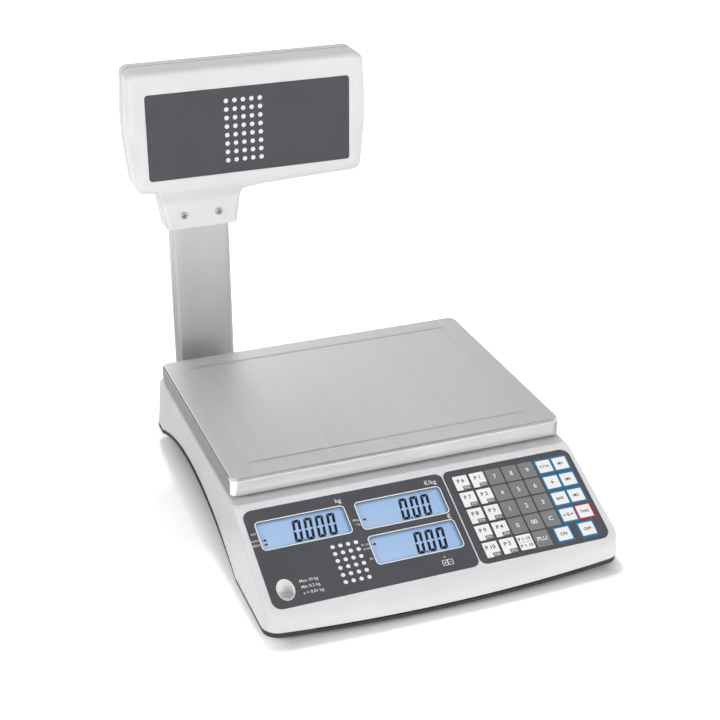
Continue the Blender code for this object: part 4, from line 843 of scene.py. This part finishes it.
SHANK, HEAD_FOOT, HEAD_UNDER, HEAD_SIDE, HEAD_ROUND = 0.48, -0.0014, -0.0013, -0.0006, -0.0002
CROSS_ARM, CROSS_HALF, CROSS_TURN = 0.62, 0.15, 24.0
CROSS_FLOOR, CROSS_ROOF = -0.0011, 0.001


def cross_recess(name):
    """Cross-head screw: a domed head with a real cross cut in it, on its shank."""
    low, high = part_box(name)
    place = shift((low.x + high.x) / 2, low.y, (low.z + high.z) / 2) @ UPRIGHT
    head = (high.x - low.x) / 2
    screw = Work()
    profile = (
        (head * SHANK, low.y - high.y), (head * SHANK, HEAD_FOOT), (head, HEAD_UNDER),
        (head, HEAD_SIDE), (head * 0.86, HEAD_ROUND), (head * 0.5, 0.0),
    )
    screw.turned(profile, SCREW_STEEL, steps=32)
    piece = screw.done(name + "_look", place, "base", "steel", (name,))
    arm, thin = head * CROSS_ARM, head * CROSS_HALF
    quarter = [(-thin, -thin), (-thin, -arm), (thin, -arm)]
    cross = []
    for _ in range(4):
        cross += quarter
        quarter = [(-y, x) for x, y in quarter]
    cutter = Work()
    # the cut walls take this dark colour, painted shade inside the cross
    cutter.prism(cross, CROSS_FLOOR, CROSS_ROOF, RECESS_SHADE)
    turned = place @ Matrix.Rotation(radians(CROSS_TURN), 4, "Z")
    tool = add("cutter", cutter.mesh("cutter", turned))
    cut = piece.modifiers.new("cross", "BOOLEAN")
    cut.object = tool
    cut.solver = "EXACT"
    cut.material_mode = "TRANSFER"
    bpy.context.view_layer.update()
    shown = piece.evaluated_get(bpy.context.evaluated_depsgraph_get())
    shaped = bpy.data.meshes.new_from_object(shown)
    piece.modifiers.clear()
    piece.data = shaped
    bpy.data.objects.remove(tool)


cross_recess("neck_screw_left")
cross_recess("neck_screw_right")

PIN_PROFILE = ((0.0009, -0.011), (0.0009, -0.002), (0.0006, -0.0012), (0.0002, -0.001))
dress("power_socket", DARK, 0.0003, 2)
low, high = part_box("power_socket")
socket_rear = shift((low.x + high.x) / 2, high.y, (low.z + high.z) / 2)
pin = Work()
pin.turned(PIN_PROFILE, CONTACT, steps=16)
pin.done("socket_pin", socket_rear @ Matrix.Rotation(-pi / 2, 4, "X"), "base", "steel")


# Stage: pale floor, soft light, cards and camera

FLOOR_SIZE = (12.0, 12.0)
SHADOW_CENTRE, SHADOW_HALF = (0.0055, -0.0035, 0.0), (0.1365, 0.1895, 0.0)  # box round the object's footprint where the floor does not glow: painted shade on top of the real shadow
WORLD_LIGHT, WORLD_SEEN = 0.22, 1.0
CARD_DISTANCE, CARD_CENTRE, CARD_FADE = 2.0, Vector((0.0, -0.05, 0.08)), 0.17
DOWN = (0.0, 0.0, -1.0)


def seen_share(tree):
    """One for camera, mirror and glass rays, and zero for the light on the object."""
    path = tree.nodes.new("ShaderNodeLightPath")
    total = path.outputs["Is Camera Ray"]
    for ray in ("Is Glossy Ray", "Is Transmission Ray"):
        most = tree.nodes.new("ShaderNodeMath")
        most.operation = "MAXIMUM"
        tree.links.new(total, most.inputs[0])
        tree.links.new(path.outputs[ray], most.inputs[1])
        total = most.outputs[0]
    return total


def sheet(name, size, look):
    x, y = size[0] / 2, size[1] / 2
    mesh = bpy.data.meshes.new(name)
    mesh.from_pydata([(-x, -y, 0), (x, -y, 0), (x, y, 0), (-x, y, 0)], [], [(0, 1, 2, 3)])
    mesh.materials.append(look)
    return add(name, mesh)


def hide_from(made, *rays):
    for ray in rays:
        setattr(made, "visible_" + ray, False)


paper = Look("floor_paper", Roughness=1.0, Specular_IOR_Level=0.0, Emission_Color=(1, 1, 1, 1))
cloud = paper.spread(paper.noise((5.0,) * 3), 0.0, 1.0)
paper.colour(paper.blend(cloud, srgb("F0F0F0"), srgb("ECECEC")))
reach = paper.coordinates("Object")
for operation, value in (
    ("SUBTRACT", SHADOW_CENTRE), ("ABSOLUTE", None), ("SUBTRACT", SHADOW_HALF),
    ("MAXIMUM", (0.0, 0.0, 0.0)), ("LENGTH", None),
):
    step = paper.node("VectorMath")
    step.operation = operation
    paper.link(reach, step.inputs[0])
    if value:
        step.inputs[1].default_value = value
    reach = step.outputs["Value" if operation == "LENGTH" else "Vector"]
# The floor's glow fades to nothing towards the object, so the floor darkens round its footprint:
# painted shade added to the real shadow. Further off, the glow rises more for an even white
# backdrop.
near, far = paper.spread(reach, 0.0, 0.6, 0.0, 0.03), paper.spread(reach, 0.0, 0.4, 0.5, 1.6)
glow = paper.math("MULTIPLY", seen_share(paper.tree), paper.math("ADD", near, far))
paper.link(glow, paper.shader.inputs["Emission Strength"])
floor = sheet("floor", FLOOR_SIZE, paper.material)

world = bpy.data.worlds.new("studio")
bpy.context.scene.world = world
world.use_nodes = True
background = world.node_tree.nodes["Background"]
background.inputs["Color"].default_value = (1, 1, 1, 1)
strength = world.node_tree.nodes.new("ShaderNodeMapRange")
strength.inputs["To Min"].default_value = WORLD_LIGHT
strength.inputs["To Max"].default_value = WORLD_SEEN
world.node_tree.links.new(seen_share(world.node_tree), strength.inputs["Value"])
world.node_tree.links.new(strength.outputs["Result"], background.inputs["Strength"])


def soft_light(name, at, target, size, watts):
    data = bpy.data.lights.new(name, "AREA")
    data.shape = "RECTANGLE"
    data.size, data.size_y = size
    data.energy = watts
    made = add(name, data)
    made.location = at
    made.rotation_euler = (Vector(target) - Vector(at)).to_track_quat("-Z", "Y").to_euler()
    hide_from(made, "glossy")


soft_light("top_light", (0.12, 1.1, 2.0), (0.0, -0.05, 0.05), (0.2, 0.16), 19.0)
soft_light("front_light", (0.7, -2.15, 0.68), (0.0, 0.0, 0.2), (1.6, 0.7), 31.0)
soft_light("left_light", (-2.1, -0.25, 0.9), (0.0, 0.0, 0.15), (1.2, 0.9), 21.0)
soft_light("rear_light", (1.0, 1.9, 0.8), (0.0, 0.05, 0.15), (1.4, 0.9), 14.0)


def card(name, way, size, values, lying=None):
    """Card that only mirror-like surfaces see, out in a direction or lying at a place.

    values are its strengths, from its left to its right.
    """
    look = Look(name)
    fade = size[0] * CARD_FADE
    across = look.spread(look.axis("Object", "X"), *values, -fade, fade)
    look.surface(look.node("Emission", Color=(1, 1, 1, 1), Strength=across))
    made = sheet(name, size, look.material)
    out = Vector(way).normalized() * CARD_DISTANCE + CARD_CENTRE
    made.location = out if lying is None else lying
    made.rotation_euler = (-Vector(way)).to_track_quat("Z", "Y").to_euler()
    hide_from(made, "camera", "diffuse", "transmission", "volume_scatter", "shadow")


card("back_card", (0.32, 0.84, 0.44), (2.6, 1.4), (1.22, 0.45))
card("left_card", (-0.50, 0.84, 0.16), (0.8, 1.3), (0.08, 0.08))
card("over_card", (0.33, -0.12, 0.93), (2.0, 1.0), (0.12, 0.12))
card("front_card", (0.35, -0.84, 0.32), (2.4, 1.7), (0.6, 0.6))
card("floor_card", DOWN, (0.44, 0.56), (0.3, 0.3), (-0.38, 0.25, 0.001))
card("rear_floor_card", DOWN, (0.87, 0.76), (0.5, 0.5), (0.315, 0.62, 0.001))
card("right_floor_card", DOWN, (0.41, 0.49), (0.5, 0.5), (0.395, -0.005, 0.001))


def net(name, at, size, share):
    """Fine net that lets some of the light from above through."""
    look = Look(name)
    look.surface(look.node("BsdfTransparent", Color=(share, share, share, 1.0)))
    made = sheet(name, size, look.material)
    made.location = at
    hide_from(made, "camera", "diffuse", "glossy", "transmission", "volume_scatter")


net("head_net", (-0.0375, 0.230, 0.454), (0.245, 0.060), 0.2)

CAMERA_PLACE = (-0.4129, -1.0742, 0.6961)
CAMERA_DOWN, CAMERA_TURN = 26.21, -20.89
camera = bpy.data.cameras.new("camera")
camera.lens = 74.2
camera.sensor_width = 36.0
viewer = add("camera", camera)
viewer.location = CAMERA_PLACE
viewer.rotation_euler = (radians(90 - CAMERA_DOWN), 0.0, radians(CAMERA_TURN))
bpy.context.scene.camera = viewer
bpy.context.scene.view_settings.view_transform = "Standard"
